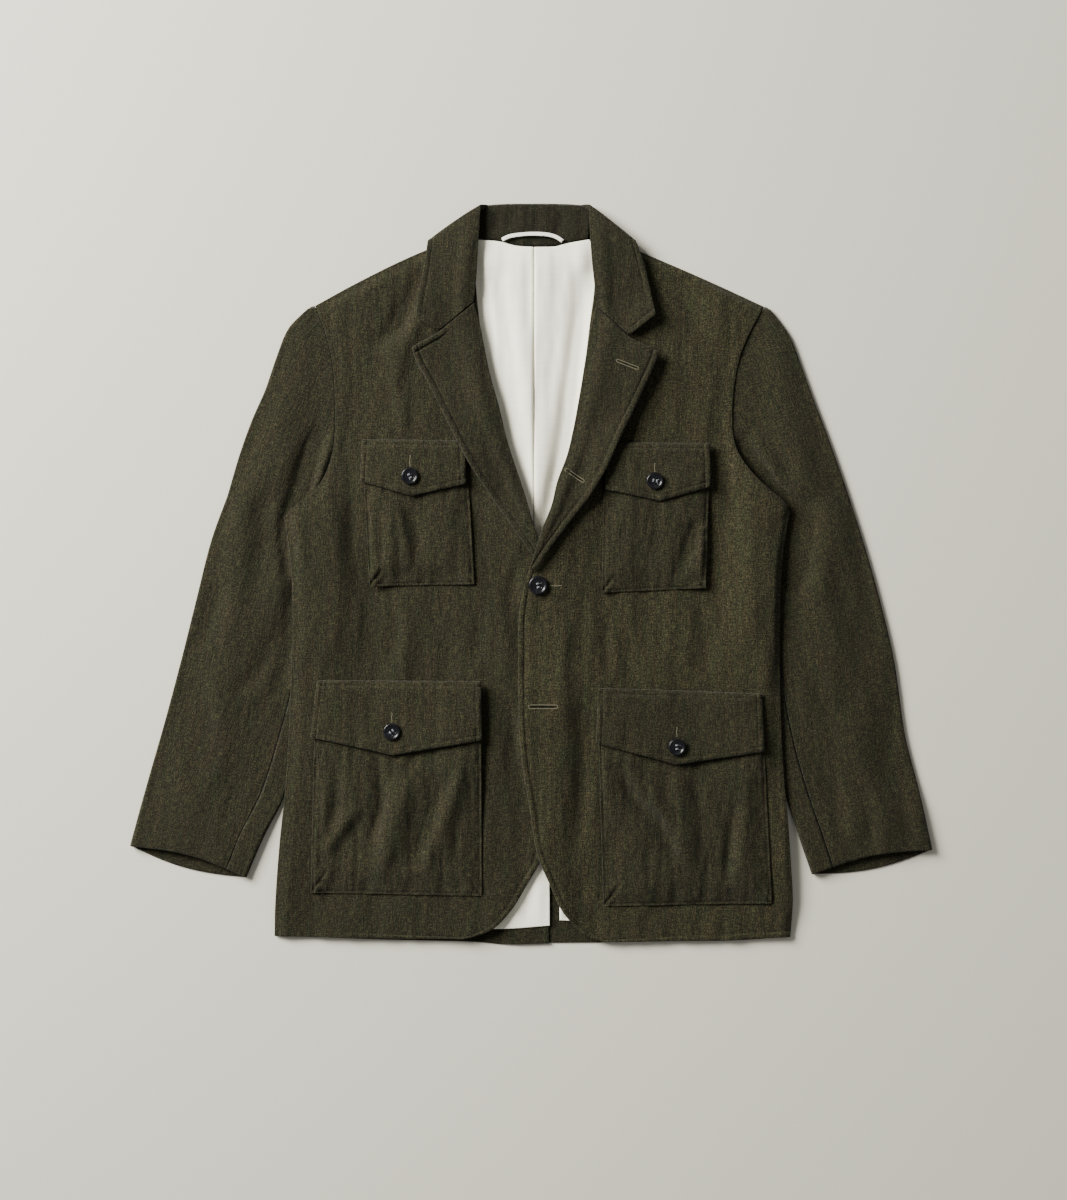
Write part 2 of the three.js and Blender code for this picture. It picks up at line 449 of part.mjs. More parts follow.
// Sleeve: a flattened tube in two walls, the top sleeve and the under sleeve round the inner edge.
// Above the armpit both end at the armhole; below it the under sleeve turns back to the forearm seam.
function sleeve(side, armhole, head, outerLine, innerLine, inward) {
  const outline = join(line(head, ARMHOLE_ROWS), line(outerLine, SLEEVE_ROWS));
  const inside = join(armhole.toReversed(), line(innerLine, SLEEVE_ROWS));
  const below = (key, at) => {
    const after = Math.max(1, SLEEVE_BELOW.findIndex((row) => row.at >= at));
    const [a, b] = [SLEEVE_BELOW[after - 1], SLEEVE_BELOW[after]];
    return THREE.MathUtils.lerp(a[key], b[key], smooth((at - a.at) / (b.at - a.at)));
  };
  const top = [];
  const under = [];
  outline.forEach((outer, k) => {
    const across = inside[k].clone().sub(outer);
    const width = across.length() - ARMHOLE_GAP;
    across.normalize();
    const down = Math.max(0, (k - ARMHOLE_ROWS) / SLEEVE_ROWS);
    const isTube = k > ARMHOLE_ROWS;
    const cuff = smooth((down - CUFF_START) / (CUFF_OPEN - CUFF_START));
    const pressed = THREE.MathUtils.lerp(SLEEVE_PRESSED, CUFF_RISE, cuff);
    const crown = k < ARMHOLE_ROWS ? (below("crown", 0) * k) / ARMHOLE_ROWS : below("crown", down);
    const seam = isTube ? below("seam", down) : 1;
    const middle = pressed / 2;
    const fold = Math.min(middle - CLOTH / 2, width * EDGE_FOLD_SHARE);
    const arch = (at) => Math.sin(Math.PI * Math.min(1, at / (width * CROWN_SHARE))) ** 2;
    const high = (at) => pressed - CLOTH / 2 + crown * arch(at);
    const row = Math.max(1, k);
    const along = outline[row].clone().sub(outline[row - 1]).add(inside[row]).sub(inside[row - 1]);
    along.normalize();
    const bow = CUFF_BOW * smooth((down - CUFF_OPEN) / (1 - CUFF_OPEN));
    const bowed = (at, z) => bow * Math.sin((Math.PI * at) / width) * (z < middle ? 1 : -1);
    const spot = (at, z) => outer.clone().addScaledVector(across, at)
      .addScaledVector(along, bowed(at, z)).setZ(z);
    const turn = [0, 1, 2].map((step) => (step / 3) * (Math.PI / 2));
    const steps = (from, to, count) =>
      [...Array(count + 1).keys()].map((step) => THREE.MathUtils.lerp(from, to, step / count));
    const topEnd = isTube ? Math.min(width * seam, width - fold) : width;
    top.push([
      ...turn.map((a) =>
        spot(fold * (1 - Math.cos(a)), middle + SEAM + (high(0) - middle - SEAM) * Math.sin(a))),
      ...steps(fold, topEnd - (isTube ? SEAM : 0), SLEEVE_TOP_COLUMNS).map((at) => spot(at, high(at))),
    ]);
    const lowFold = turn.map((a) =>
      spot(fold * (1 - Math.cos(a)), middle - SEAM - (middle - SEAM - CLOTH / 2) * Math.sin(a)));
    if (isTube) {
      const back = turn.toReversed();
      const last = width - fold;
      under.push([
        ...lowFold,
        ...steps(fold, last, SLEEVE_UNDER_COLUMNS).map((at) => spot(at, CLOTH / 2)),
        ...back.map((a) => spot(last + fold * Math.cos(a), middle - (middle - CLOTH / 2) * Math.sin(a))),
        ...turn.slice(1).map((a) =>
          spot(last + fold * Math.cos(a), middle + (high(width) - middle) * Math.sin(a))),
        ...steps(last, topEnd, 1).map((at) => spot(at, high(at))),
      ]);
    } else {
      const plain = width * UNDER_PLAIN;
      under.push([
        ...lowFold,
        ...steps(fold, plain, SLEEVE_UNDER_COLUMNS).map((at) => spot(at, CLOTH / 2)),
        ...steps(plain, width, SLEEVE_EDGE_COLUMNS).slice(1).map((at) => spot(at, CLOTH / 2)),
      ]);
    }
  });
  // Rows run from the head to the cuff, so the order across decides which way the faces point
  const facing = (rows) => (inward > 0 ? rows.toReversed() : rows);
  const topWall = thickened(facing(top), CLOTH);
  const underWall = thickened(facing(under.map((row) => row.toReversed())), CLOTH);
  add("sleeve_top_" + side, walled(topWall.outer, topWall.inner), "sleeve");
  add("sleeve_under_" + side, walled(underWall.outer, underWall.inner), "sleeve");
  const covered = (rows) => (inward > 0 ? rows.slice(0, SLEEVE_ROWS + 1) : rows.slice(ARMHOLE_ROWS));
  stamp(covered(topWall.outer));
  stamp(covered(underWall.outer));
}

const armholeLeft = line(ARMHOLE_LEFT, ARMHOLE_ROWS);
const armholeRight = line(ARMHOLE_RIGHT, ARMHOLE_ROWS);
const sideLeft = join(line(SIDE_LEFT, SIDE_ROWS), armholeLeft);
const sideRight = join(line(SIDE_RIGHT, SIDE_ROWS), armholeRight);
sleeve("left", armholeLeft, SLEEVE_LEFT_HEAD, SLEEVE_LEFT_OUTER, SLEEVE_LEFT_INNER, 1);
sleeve("right", armholeRight, SLEEVE_RIGHT_HEAD, SLEEVE_RIGHT_OUTER, SLEEVE_RIGHT_INNER, -1);

// Collar in plan: rows from the left leaf's front end round the neck to the right leaf's
const leafLeft = patch(
  line(LEAF_LEFT_ROLL, LEAF_ROWS), line(LEAF_LEFT_EDGE, LEAF_ROWS),
  join(line(LEAF_LEFT_END, ROLL_COLUMNS), line(LEAF_LEFT_NOTCH, NOTCH_COLUMNS)),
  line(LEAF_LEFT_FOLD, ROLL_COLUMNS + NOTCH_COLUMNS));
const leafRight = patch(
  line(LEAF_RIGHT_ROLL, LEAF_ROWS), line(LEAF_RIGHT_EDGE, LEAF_ROWS),
  join(line(LEAF_RIGHT_END, ROLL_COLUMNS), line(LEAF_RIGHT_NOTCH, NOTCH_COLUMNS)),
  line(LEAF_RIGHT_FOLD, ROLL_COLUMNS + NOTCH_COLUMNS));
const acrossCollar = leafLeft[0].length - 1;
const fallRow = ({ rollX, rollY, edgeX, edgeY }) => straight([rollX, rollY], [edgeX, edgeY], acrossCollar);
const lastLeft = leafLeft[LEAF_ROWS];
const lastRight = leafRight[LEAF_ROWS];
const fall = [lastLeft, ...FALL.map(fallRow), lastRight];
stamp(raised(fall, CLOTH));

// Back
const plainLoft = () => 0;
const backRight = patch(
  join(line(VENT_RIGHT, VENT_ROWS), line(CENTRE_RIGHT, SIDE_ROWS + ARMHOLE_ROWS - VENT_ROWS)), sideRight,
  line(HEM_BACK_RIGHT, NECK_COLUMNS + SHOULDER_COLUMNS),
  join(line(NECK_RIGHT, NECK_COLUMNS), line(SHOULDER_RIGHT.toReversed(), SHOULDER_COLUMNS)));
stamp(layer("back_right", backRight, ground(), BACK_CLOTH, plainLoft, "olive"));
const backLeft = patch(
  sideLeft, join(line(VENT_LEFT, VENT_ROWS), line(CENTRE_LEFT, SIDE_ROWS + ARMHOLE_ROWS - VENT_ROWS)),
  line(HEM_BACK_LEFT, NECK_COLUMNS + SHOULDER_COLUMNS),
  join(line(SHOULDER_LEFT, SHOULDER_COLUMNS), line(NECK_LEFT, NECK_COLUMNS)));
stamp(layer("back_left", backLeft, ground(), BACK_CLOTH, plainLoft, "olive"));

// Lining
const liningRight = patch(line(LINING_RIGHT_INNER, LINING_ROWS), line(LINING_RIGHT_OUTER, LINING_ROWS),
  line(LINING_RIGHT_HEM, LINING_COLUMNS), line(LINING_RIGHT_NECK, LINING_COLUMNS));
const liningLeft = patch(line(LINING_LEFT_OUTER, LINING_ROWS), line(LINING_LEFT_INNER, LINING_ROWS),
  line(LINING_LEFT_HEM, LINING_COLUMNS), line(LINING_LEFT_NECK, LINING_COLUMNS));
const onBack = ground();
const liningTops = [
  layer("lining_right", liningRight, onBack, LINING, plainLoft, "cream"),
  layer("lining_left", liningLeft, onBack, LINING, plainLoft, "cream"),
];

// Collar stand, with the hanger loop on it
const foot = line(STAND_FOOT, STAND_COLUMNS);
const head = line(STAND_TOP, STAND_COLUMNS);
const upright = (i) => straight([foot[i].x, foot[i].y], [head[i].x, head[i].y], STAND_ROWS);
const stand = patch(upright(0), upright(STAND_COLUMNS), foot, head);
const standTop = layer("collar_stand", stand, onBack, CLOTH, plainLoft, "olive");
liningTops.forEach(stamp);
stamp(standTop);

const loop = line(RIBBON, LOOP_STEPS);
const ribbon = [-1, 1].map((side) =>
  loop.map((p, i) => {
    const along = loop[Math.min(i + 1, LOOP_STEPS)].clone().sub(loop[Math.max(i - 1, 0)]).normalize();
    const across = new THREE.Vector3(-along.y, along.x, 0);
    return p.clone().addScaledVector(across, (side * RIBBON_WIDTH) / 2);
  }));
layer("hanger_loop", ribbon, ground(), RIBBON_THICK, plainLoft, "cream");

// Fronts: the side seam and the shoulder seam round down to the back
const nearest = (p, edge) => Math.min(...edge.map((q) => p.distanceTo(q)));
function frontLoft(side, shoulder) {
  const seams = [...line(side, SEAM_STEPS), ...line(shoulder, SEAM_STEPS)];
  return (p) => {
    const rounding = smooth(nearest(p, seams) / EDGE_ROLL);
    return rounding * (FRONT_LOFT + folds(p.x, p.y));
  };
}
const frontLeft = patch(
  sideLeft, join(line(EDGE_LEFT, SIDE_ROWS), line(ROLL_LEFT, ARMHOLE_ROWS)),
  line(HEM_FRONT_LEFT, FRONT_COLUMNS), line(SHOULDER_LEFT, FRONT_COLUMNS));
stamp(layer("front_left", frontLeft, ground(), CLOTH, frontLoft(SIDE_LEFT, SHOULDER_LEFT), "olive"));

// A sewn button: a turned disc with a raised rim and four holes
const wasm = await Module();
wasm.setup();
const HOLE_RADIUS = 1.1;
const HOLE_OFFSET = 1.9;
const BUTTON_SIDES = 16;
// Shares of the radius and of the thickness, from the middle of the underside over the rim to the dish
const BUTTON_PROFILE = table("r z", [0, 0], [0.82, 0], [0.97, 0.2], [1, 0.5], [0.95, 0.85], [0.86, 1],
  [0.74, 0.94], [0.64, 0.72], [0, 0.68]);
function solid(geometry) {
  geometry.deleteAttribute("normal");
  geometry.deleteAttribute("uv");
  const merged = mergeVertices(geometry, 1e-3);
  const mesh = new wasm.Mesh({
    numProp: 3,
    vertProperties: merged.attributes.position.array,
    triVerts: new Uint32Array(merged.index.array),
  });
  return new wasm.Manifold(mesh);
}
function button(name, x, y, diameter, thick) {
  const radius = diameter / 2;
  const profile = BUTTON_PROFILE.map(({ r, z }) => new THREE.Vector2(r * radius, z * thick));
  let disc = solid(new THREE.LatheGeometry(profile, BUTTON_SIDES));
  for (const [dx, dz] of [[1, 1], [1, -1], [-1, 1], [-1, -1]]) {
    const hole = new THREE.CylinderGeometry(HOLE_RADIUS, HOLE_RADIUS, thick * 3, 6);
    hole.translate(dx * HOLE_OFFSET, 0, dz * HOLE_OFFSET);
    disc = disc.subtract(solid(hole));
  }
  const mesh = disc.getMesh();
  const geometry = new THREE.BufferGeometry();
  geometry.setAttribute("position", new THREE.BufferAttribute(mesh.vertProperties, 3));
  geometry.setIndex(new THREE.BufferAttribute(mesh.triVerts, 1));
  geometry.rotateX(Math.PI / 2);
  const ring = (share, z) => [...Array(RING_STEPS + 1).keys()].map((k) => {
    const angle = (k / RING_STEPS) * 2 * Math.PI;
    return new THREE.Vector3(x + share * radius * Math.cos(angle), y + share * radius * Math.sin(angle), z);
  });
  const under = [0, 0.5, 1].flatMap((share) => ring(share, 0)).map((p) => valueAt(reached, p.x, p.y));
  const seat = Math.max(...under) + SEAM;
  geometry.translate(x, y, seat);
  add(name, geometry, "horn");
  stamp([ring(0.01, seat + thick), ring(1, seat + thick)]);
}
const [buttonFront, buttonLower] = FRONT_BUTTONS;
button(buttonLower.name, buttonLower.x, buttonLower.y, buttonLower.diameter, buttonLower.thick);

const frontRight = patch(
  join(line(EDGE_RIGHT, SIDE_ROWS), line(ROLL_RIGHT, ARMHOLE_ROWS)), sideRight,
  line(HEM_FRONT_RIGHT, FRONT_COLUMNS), line(SHOULDER_RIGHT.toReversed(), FRONT_COLUMNS));
stamp(layer("front_right", frontRight, ground(), CLOTH, frontLoft(SIDE_RIGHT, SHOULDER_RIGHT), "olive"));

// Patch pockets, then their flaps
const BAG_OPENING = 1.8; // the bag stands fully out well below its open top
const onFronts = ground();
const bagTops = BAGS.map((bag) => {
  const { bottomLeft, bottomRight, topRight, topLeft } = bag;
  const plan = patch(straight(bottomLeft, topLeft, BAG_STEPS), straight(bottomRight, topRight, BAG_STEPS),
    straight(bottomLeft, bottomRight, BAG_STEPS), straight(topLeft, topRight, BAG_STEPS));
  const across = (i) => Math.sin((Math.PI * i) / BAG_STEPS);
  const up = (j) => Math.sin((Math.PI / 2) * Math.min(1, (j / BAG_STEPS) * BAG_OPENING));
  const puff = (p, i, j) => POCKET_PUFF * Math.sqrt(across(i) * up(j));
  return layer("pocket_" + bag.name, plan, onFronts, BAG_CLOTH, puff, "olive");
});
bagTops.forEach(stamp);
const onBags = ground();
const flapTops = FLAPS.map((flap) => {
  const plan = patch(straight(flap.bottomLeft, flap.topLeft, FLAP_ROWS),
    straight(flap.bottomRight, flap.topRight, FLAP_ROWS),
    join(straight(flap.bottomLeft, flap.point, FLAP_COLUMNS / 2),
      straight(flap.point, flap.bottomRight, FLAP_COLUMNS / 2)),
    straight(flap.topLeft, flap.topRight, FLAP_COLUMNS));
  return layer("flap_" + flap.name, plan, onBags, DOUBLE, plainLoft, "olive");
});
flapTops.forEach(stamp);

// Lapels and collar leaves lie side by side on the fronts, parted by the gorge seam
const onFlaps = ground();
const rollPuff = (share) => ROLL_PUFF * Math.sin(Math.PI * Math.min(1, share / ROLL_SHARE)) ** 2;
const rollsLeft = [...line(LAPEL_LEFT_ROLL, SEAM_STEPS), ...line(LEAF_LEFT_ROLL, SEAM_STEPS)];
const rollsRight = [...line(LAPEL_RIGHT_ROLL, SEAM_STEPS), ...line(LEAF_RIGHT_ROLL, SEAM_STEPS)];
const lift = (p, rolls) => LAPEL_LIFT * smooth(nearest(p, rolls) / LIFT_WIDTH);
const lapelLoft = (p, rolls, share, j) => (rollPuff(share) + lift(p, rolls)) * smooth(j / BREAK_ROWS);
const HALF_LAPEL = LAPEL_COLUMNS / 2;
const lapelLeft = patch(line(LAPEL_LEFT_EDGE, LAPEL_ROWS), line(LAPEL_LEFT_ROLL, LAPEL_ROWS),
  line(LAPEL_LEFT_BREAK, LAPEL_COLUMNS),
  join(line(LAPEL_LEFT_TOP, HALF_LAPEL), line(GORGE_LEFT, HALF_LAPEL)));
const lapelRight = patch(line(LAPEL_RIGHT_ROLL, LAPEL_ROWS), line(LAPEL_RIGHT_EDGE, LAPEL_ROWS),
  line(LAPEL_RIGHT_BREAK, LAPEL_COLUMNS),
  join(line(GORGE_RIGHT, HALF_LAPEL), line(LAPEL_RIGHT_TOP, HALF_LAPEL)));
const lapelTops = [
  layer("lapel_left", lapelLeft, onFlaps, DOUBLE,
    (p, i, j) => lapelLoft(p, rollsLeft, 1 - i / LAPEL_COLUMNS, j), "olive"),
  layer("lapel_right", lapelRight, onFlaps, DOUBLE,
    (p, i, j) => lapelLoft(p, rollsRight, i / LAPEL_COLUMNS, j), "olive"),
];

// Collar: the leaves roll over the stand and fold round the shoulders into the fall
const leafSheet = (leaf, rolls) => {
  const loft = (p, i, j) => rollPuff(i / acrossCollar) + lift(p, rolls) * (1 - LIFT_LOST * (j / LEAF_ROWS));
  return raised(laid(leaf, onFlaps, loft), CLOTH / 2);
};
const toNeck = (p) => point(NECK_MIDDLE).sub(p).setZ(0).normalize();
function foldRows(fromRow, toRow) {
  const bulged = (a, b, share, out) =>
    a.map((p, i) => p.clone().lerp(b[i], share).addScaledVector(toNeck(p), -out));
  const mid = bulged(fromRow, toRow, 0.5, FOLD_OUT);
  const beside = (row) => bulged(row, mid, FOLD_SIDE_AT, FOLD_OUT * FOLD_SIDE);
  return [beside(fromRow), mid, beside(toRow)];
}
const leafLeftSheet = leafSheet(leafLeft, rollsLeft);
const leafRightSheet = leafSheet(leafRight, rollsRight);
const fallSheet = raised(fall, CLOTH / 2);
const collarRows = [
  ...leafLeftSheet,
  ...foldRows(leafLeftSheet[LEAF_ROWS], fallSheet[0]),
  ...fallSheet,
  ...foldRows(fallSheet[fallSheet.length - 1], leafRightSheet[LEAF_ROWS]),
  ...leafRightSheet.toReversed(),
];
const collar = thickened(collarRows, CLOTH);
add("collar", walled(collar.outer, collar.inner), "olive");
lapelTops.forEach(stamp);

FLAPS.forEach((flap) => button("button_" + flap.name, ...flap.button, FLAP_BUTTON, BUTTON_THICK));
button(buttonFront.name, buttonFront.x, buttonFront.y, buttonFront.diameter, buttonFront.thick);

// The origin is the middle of the jacket's outline, on the surface
const jacketBox = new THREE.Box3().setFromObject(jacket);
const centre = jacketBox.getCenter(new THREE.Vector3());
jacket.position.set(-centre.x, -centre.y, -jacketBox.min.z);

export default jacket;
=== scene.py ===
import math

import bpy
import numpy as np
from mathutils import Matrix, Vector


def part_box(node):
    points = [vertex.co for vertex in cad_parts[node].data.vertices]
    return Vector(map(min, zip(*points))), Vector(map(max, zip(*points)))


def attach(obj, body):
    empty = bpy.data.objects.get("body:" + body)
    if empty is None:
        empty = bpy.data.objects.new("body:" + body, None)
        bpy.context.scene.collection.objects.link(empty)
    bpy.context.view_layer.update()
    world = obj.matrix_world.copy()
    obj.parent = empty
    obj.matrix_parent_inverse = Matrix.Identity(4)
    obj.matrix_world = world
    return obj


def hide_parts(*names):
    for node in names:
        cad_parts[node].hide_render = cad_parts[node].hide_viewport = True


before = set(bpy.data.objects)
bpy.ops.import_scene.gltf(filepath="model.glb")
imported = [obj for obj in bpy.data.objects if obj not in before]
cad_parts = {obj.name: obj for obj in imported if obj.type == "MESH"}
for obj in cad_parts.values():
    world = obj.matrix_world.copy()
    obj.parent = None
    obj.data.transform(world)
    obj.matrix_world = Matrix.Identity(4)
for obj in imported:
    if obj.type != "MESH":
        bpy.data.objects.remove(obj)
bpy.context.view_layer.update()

# Field jacket laid flat, front side up. Sizes and outlines are in millimetres, in the plan of the pattern:
# x to the right, y from the hem up, z up from the floor. Left and right are those of the picture.
MM = 0.001
CLOTH = 1.8  # one layer of the jacket cloth with its turnings
BACK_CLOTH = 1.6  # the back, one layer pressed on the floor
LINING = 1.1
DOUBLE = 2.2  # lapel and flap, two layers turned and pressed
BAG_CLOTH = 1.4  # patch pocket
SEAM = 0.3  # gap at a seam or between two layers that touch
LEAST_EDGE = 0.3  # radius of the thinnest edge
FRONT_LOFT = 3.6  # how far a front stands clear of the lining
EDGE_ROLL = {"left": 14, "right": 7.7}  # width of the rounding at a front's side seam and shoulder seam
LINING_SWELL = 4.5  # of the lining where the neck is open
POCKET_PUFF = 4.2  # how far a pocket stands out in its middle
POCKET_CRUMPLE = 1.3  # pockets crease more than what they lie on
FLAP_LOFT = 1.3
ROLL_PUFF = 2.2  # height of the soft roll along a collar leaf
LAPEL_FULLER = 1.4  # and how many times as high it is along a lapel
ROLL_SHARE = 0.45  # share of a lapel's or leaf's width that the roll takes
LAPEL_LIFT = {"left": 4.0, "right": 7.0}  # how far the free edge stands off the front
CORNER_LIFT = {"left": 1.5, "right": 3.5}  # and the leaf's corner at the notch still more
CORNER_WIDTH = 26
LIFT_WIDTH = 60  # distance from the roll over which the edge rises
LIFT_LOST = 0.6  # share of its lift that a leaf loses on its way to the shoulder
FOLD_OUT = 3.51  # how far the collar bulges out where a leaf folds into the fall
NECK_MIDDLE = (0.0, 690.0)  # the collar's folds bulge away from it
RIBBON_WIDTH = 4.2
RIBBON_THICK = 1
CUFF_RISE = 8.6  # height of the open cuff over the floor
CUFF_BOW = 7.3  # how far the cuff's upper edge bows back, and its lower edge forward
CUFF_START, CUFF_OPEN = 0.78, 0.92  # shares of the sleeve below the armpit where the cuff starts to open and is open
SLEEVE_PRESSED = 4.8  # height of the flat sleeve
SLEEVE_RIPPLE = 0.4  # of the unevenness of the fronts
CROWN_SHARE = 0.72  # share of a sleeve's width, from its outer edge, that its crown takes
HEAD_ROWS, TUBE_ROWS = 44, 96  # of a sleeve, above and below the armpit
DRAPE_SLOPE = 0.13  # how steeply cloth comes down beside what it lies on
SOFTENING = 0.9  # how softly a trough ends on what is under it
RISE = 2.3  # scale of the listed creases
FLANK = 0.7  # from the flank that shows a crease to its crest or bottom, in its widths
BESIDE, BESIDE_AT = 0.4, 1.7  # height of the fold beside a crease, and its distance in widths
SIDE_SHARE = 0.65  # share of a body panel's rows that lies below the armpit
VENT_SHARE = 0.25  # and below the top of the vent
STITCHED = 6.5  # from a folded edge to the line of its stitches
FLAP_STITCHED = 5.8
BAG_STITCHED = 2.4
PRESSED_WIDTH = 6  # of the flatter edge of a pocket or flap
FLAP_BUTTON, FRONT_BUTTON = 18, 20  # diameters
BUTTON_THICK = 3
LOWER_BUTTON_THICK = 2.4  # the button hidden between the two fronts
BUTTON_SIDES = 56
HOLE_OFF, HOLE_RADIUS = 1.9, 1.05  # a button's holes
FRONT_BUTTON_AT = (7, 380)
LOWER_BUTTON_AT = (7, 252)
COARSE = 1.0
STEP = 3.3 * COARSE
FEW = (0.35, 1.0, 2.2, 4.5)  # distances of the rows nearest an edge, where fewer will do

# Body outlines
SIDE_LEFT = [(-272, 9), (-271, 42), (-266, 109), (-261, 156), (-257, 210), (-254, 285), (-252, 345),
             (-254, 405), (-258, 433), (-261, 452)]
SIDE_RIGHT = [(274, 8), (276, 47), (274, 85), (270, 142), (266, 191), (263, 262), (262, 339), (264, 395),
              (268, 430), (273, 458)]
ARMHOLE_LEFT = [(-261, 452), (-247, 466), (-226, 484), (-215, 505), (-209, 531), (-208, 571), (-211, 617),
                (-219, 650), (-229, 676)]
ARMHOLE_RIGHT = [(273, 458), (267, 468), (250, 482), (233, 499), (218, 522), (213, 545), (214, 586),
                 (220, 619), (229, 643), (246, 675)]
SHOULDER_LEFT = [(-229, 676), (-189, 698), (-139, 723), (-106, 737), (-64, 750)]
SHOULDER_RIGHT = [(246, 675), (192, 700), (137, 724), (108, 736), (68, 750)]
NECK_LEFT = [(-64, 750), (-57, 746.5), (-33, 744), (-16, 739.5), (2.5, 738)]
NECK_RIGHT = [(2.9, 738), (26, 739), (37, 742), (60, 746), (68, 750)]
HEM_BACK_LEFT = [(-272, 9), (-160, 5), (-61, 2.5), (-28, 0), (18.6, 1)]
HEM_BACK_RIGHT = [(-12, 1.4), (79, 2), (150, 3), (218, 4), (274, 8)]
HEM_FRONT_LEFT = [(-272, 9), (-200, 7.5), (-130, 6.5), (-73, 6.5)]
HEM_FRONT_RIGHT = [(76, 3), (140, 3.5), (210, 5), (274, 8)]
EDGE_LEFT = [(-73, 6.5), (-61, 9), (-41, 17), (-22, 36), (-4, 65), (9, 88), (17, 112), (23, 150), (26, 205),
             (27, 300), (26, 365), (20, 398), (8, 418)]
ROLL_LEFT = [(8, 418), (2, 443), (-7, 476), (-25, 531), (-34, 568), (-44, 604), (-54, 653), (-58, 690),
             (-60, 722), (-64, 750)]
EDGE_RIGHT = [(76, 3), (61, 8), (41, 25), (30, 40), (19, 65), (9, 88), (4, 105), (-2, 145), (-9, 185),
              (-13, 225), (-14, 300), (-13, 350), (-8, 380)]
ROLL_RIGHT = [(-8, 380), (1, 407), (9, 434), (21, 464), (27, 489), (37, 516), (43, 540), (50, 577), (57, 620),
              (62, 660), (66, 690), (67, 722), (68, 750)]
VENT_LEFT = [(18.6, 1), (18.6, 90), (18.2, 190)]
CENTRE_LEFT = [(18.2, 190), (8, 225), (2.5, 262), (2.5, 500), (2.5, 738)]
VENT_RIGHT = [(-12, 1.4), (-12, 90), (-11.6, 190)]
CENTRE_RIGHT = [(-11.6, 190), (-4, 225), (2.9, 262), (2.9, 500), (2.9, 738)]

# Lining
LINING_LEFT_OUTER = [(-134, 18), (-134, 300), (-134, 560), (-104, 690), (-57, 746)]
LINING_LEFT_INNER = [(19.4, 20), (19, 100), (18, 190), (10, 225), (2.66, 262), (2.66, 500), (2.66, 737.6)]
LINING_LEFT_HEM = [(-134, 18), (-80, 17), (-30, 16.5), (19.4, 20)]
LINING_LEFT_NECK = [(-57, 746), (-33, 743.6), (-16, 739.1), (2.5, 737.6)]
LINING_RIGHT_OUTER = [(138, 24), (138, 300), (138, 560), (108, 690), (61, 746)]
LINING_RIGHT_INNER = [(29.8, 25.5), (29, 100), (26, 190), (12, 232), (2.74, 270), (2.74, 500), (2.74, 737.6)]
LINING_RIGHT_HEM = [(29.8, 25.5), (60, 24), (100, 24), (138, 24)]
LINING_RIGHT_NECK = [(2.9, 737.6), (26, 738.6), (37, 741.6), (61, 746)]

# Lapels
LAPEL_LEFT_ROLL = [(7.5, 414), (6.5, 430), (2.5, 443), (-7, 476), (-25, 531), (-34, 568), (-44, 604),
                   (-54, 653), (-60.5, 678)]
LAPEL_LEFT_EDGE = [(-1, 414.5), (-17, 437), (-42, 473), (-66, 509), (-87, 549), (-108, 592), (-123, 620),
                   (-126, 631)]
LAPEL_LEFT_BREAK = [(-1, 414.5), (7.5, 414)]
LAPEL_LEFT_TOP = [(-126, 631), (-98, 647)]
GORGE_LEFT = [(-98, 647), (-60.5, 678)]
LAPEL_RIGHT_ROLL = [(-2.5, 396), (1, 407), (9, 434), (21, 464), (27, 489), (37, 516), (43, 540), (50, 577),
                    (57, 620), (62, 650), (68, 674)]
LAPEL_RIGHT_EDGE = [(5, 397), (15, 412), (44, 451), (64, 477), (80, 505), (95, 538), (110, 569), (123, 597),
                    (131, 615), (134, 625.5)]
LAPEL_RIGHT_BREAK = [(-2.5, 396), (5, 397)]
LAPEL_RIGHT_TOP = [(104, 641), (134, 625.5)]
GORGE_RIGHT = [(68, 674), (104, 641)]

# Collar
LEAF_LEFT_ROLL = [(-61, 679), (-58.5, 700), (-57, 723), (-55, 755), (-53.5, 781)]
LEAF_LEFT_EDGE = [(-122, 662), (-120, 682), (-114, 714), (-109.5, 743)]
LEAF_LEFT_END = [(-61, 679), (-97.4, 648.6)]
LEAF_LEFT_NOTCH = [(-97.4, 648.6), (-122, 662)]
LEAF_LEFT_FOLD = [(-53.5, 781), (-80, 763.5), (-109.5, 743)]
LEAF_RIGHT_ROLL = [(68.4, 675.5), (66, 700), (63.5, 723), (61.5, 755), (61, 781)]
LEAF_RIGHT_EDGE = [(131, 665), (126, 688), (119, 718), (110.5, 742)]
LEAF_RIGHT_END = [(68.4, 675.5), (103.2, 643.4)]
LEAF_RIGHT_NOTCH = [(103.2, 643.4), (131, 665)]
LEAF_RIGHT_FOLD = [(61, 781), (80, 766), (110.5, 742)]
FALL = [  # x and y on the roll, x and y on the edge
    (-45, 782.5, -84, 733), (-28, 783, -45, 729), (-10, 783.3, -14, 728), (4, 783.5, 4, 728),
    (18, 783.3, 22, 728), (36, 783, 50, 729), (52, 782.5, 86, 733),
]
STAND_TOP = [(-57.5, 781.8), (-30, 784), (4, 784.4), (36, 784), (64.5, 781.8)]
STAND_FOOT = [(-56, 747), (-33, 744.4), (-16, 739.9), (2.7, 738.4), (26, 739.4), (37, 742.4), (60, 747)]
RIBBON = [(-31, 745), (-24, 748.4), (-10, 750.6), (3, 751.2), (17, 750.4), (26, 748), (33, 743.6)]

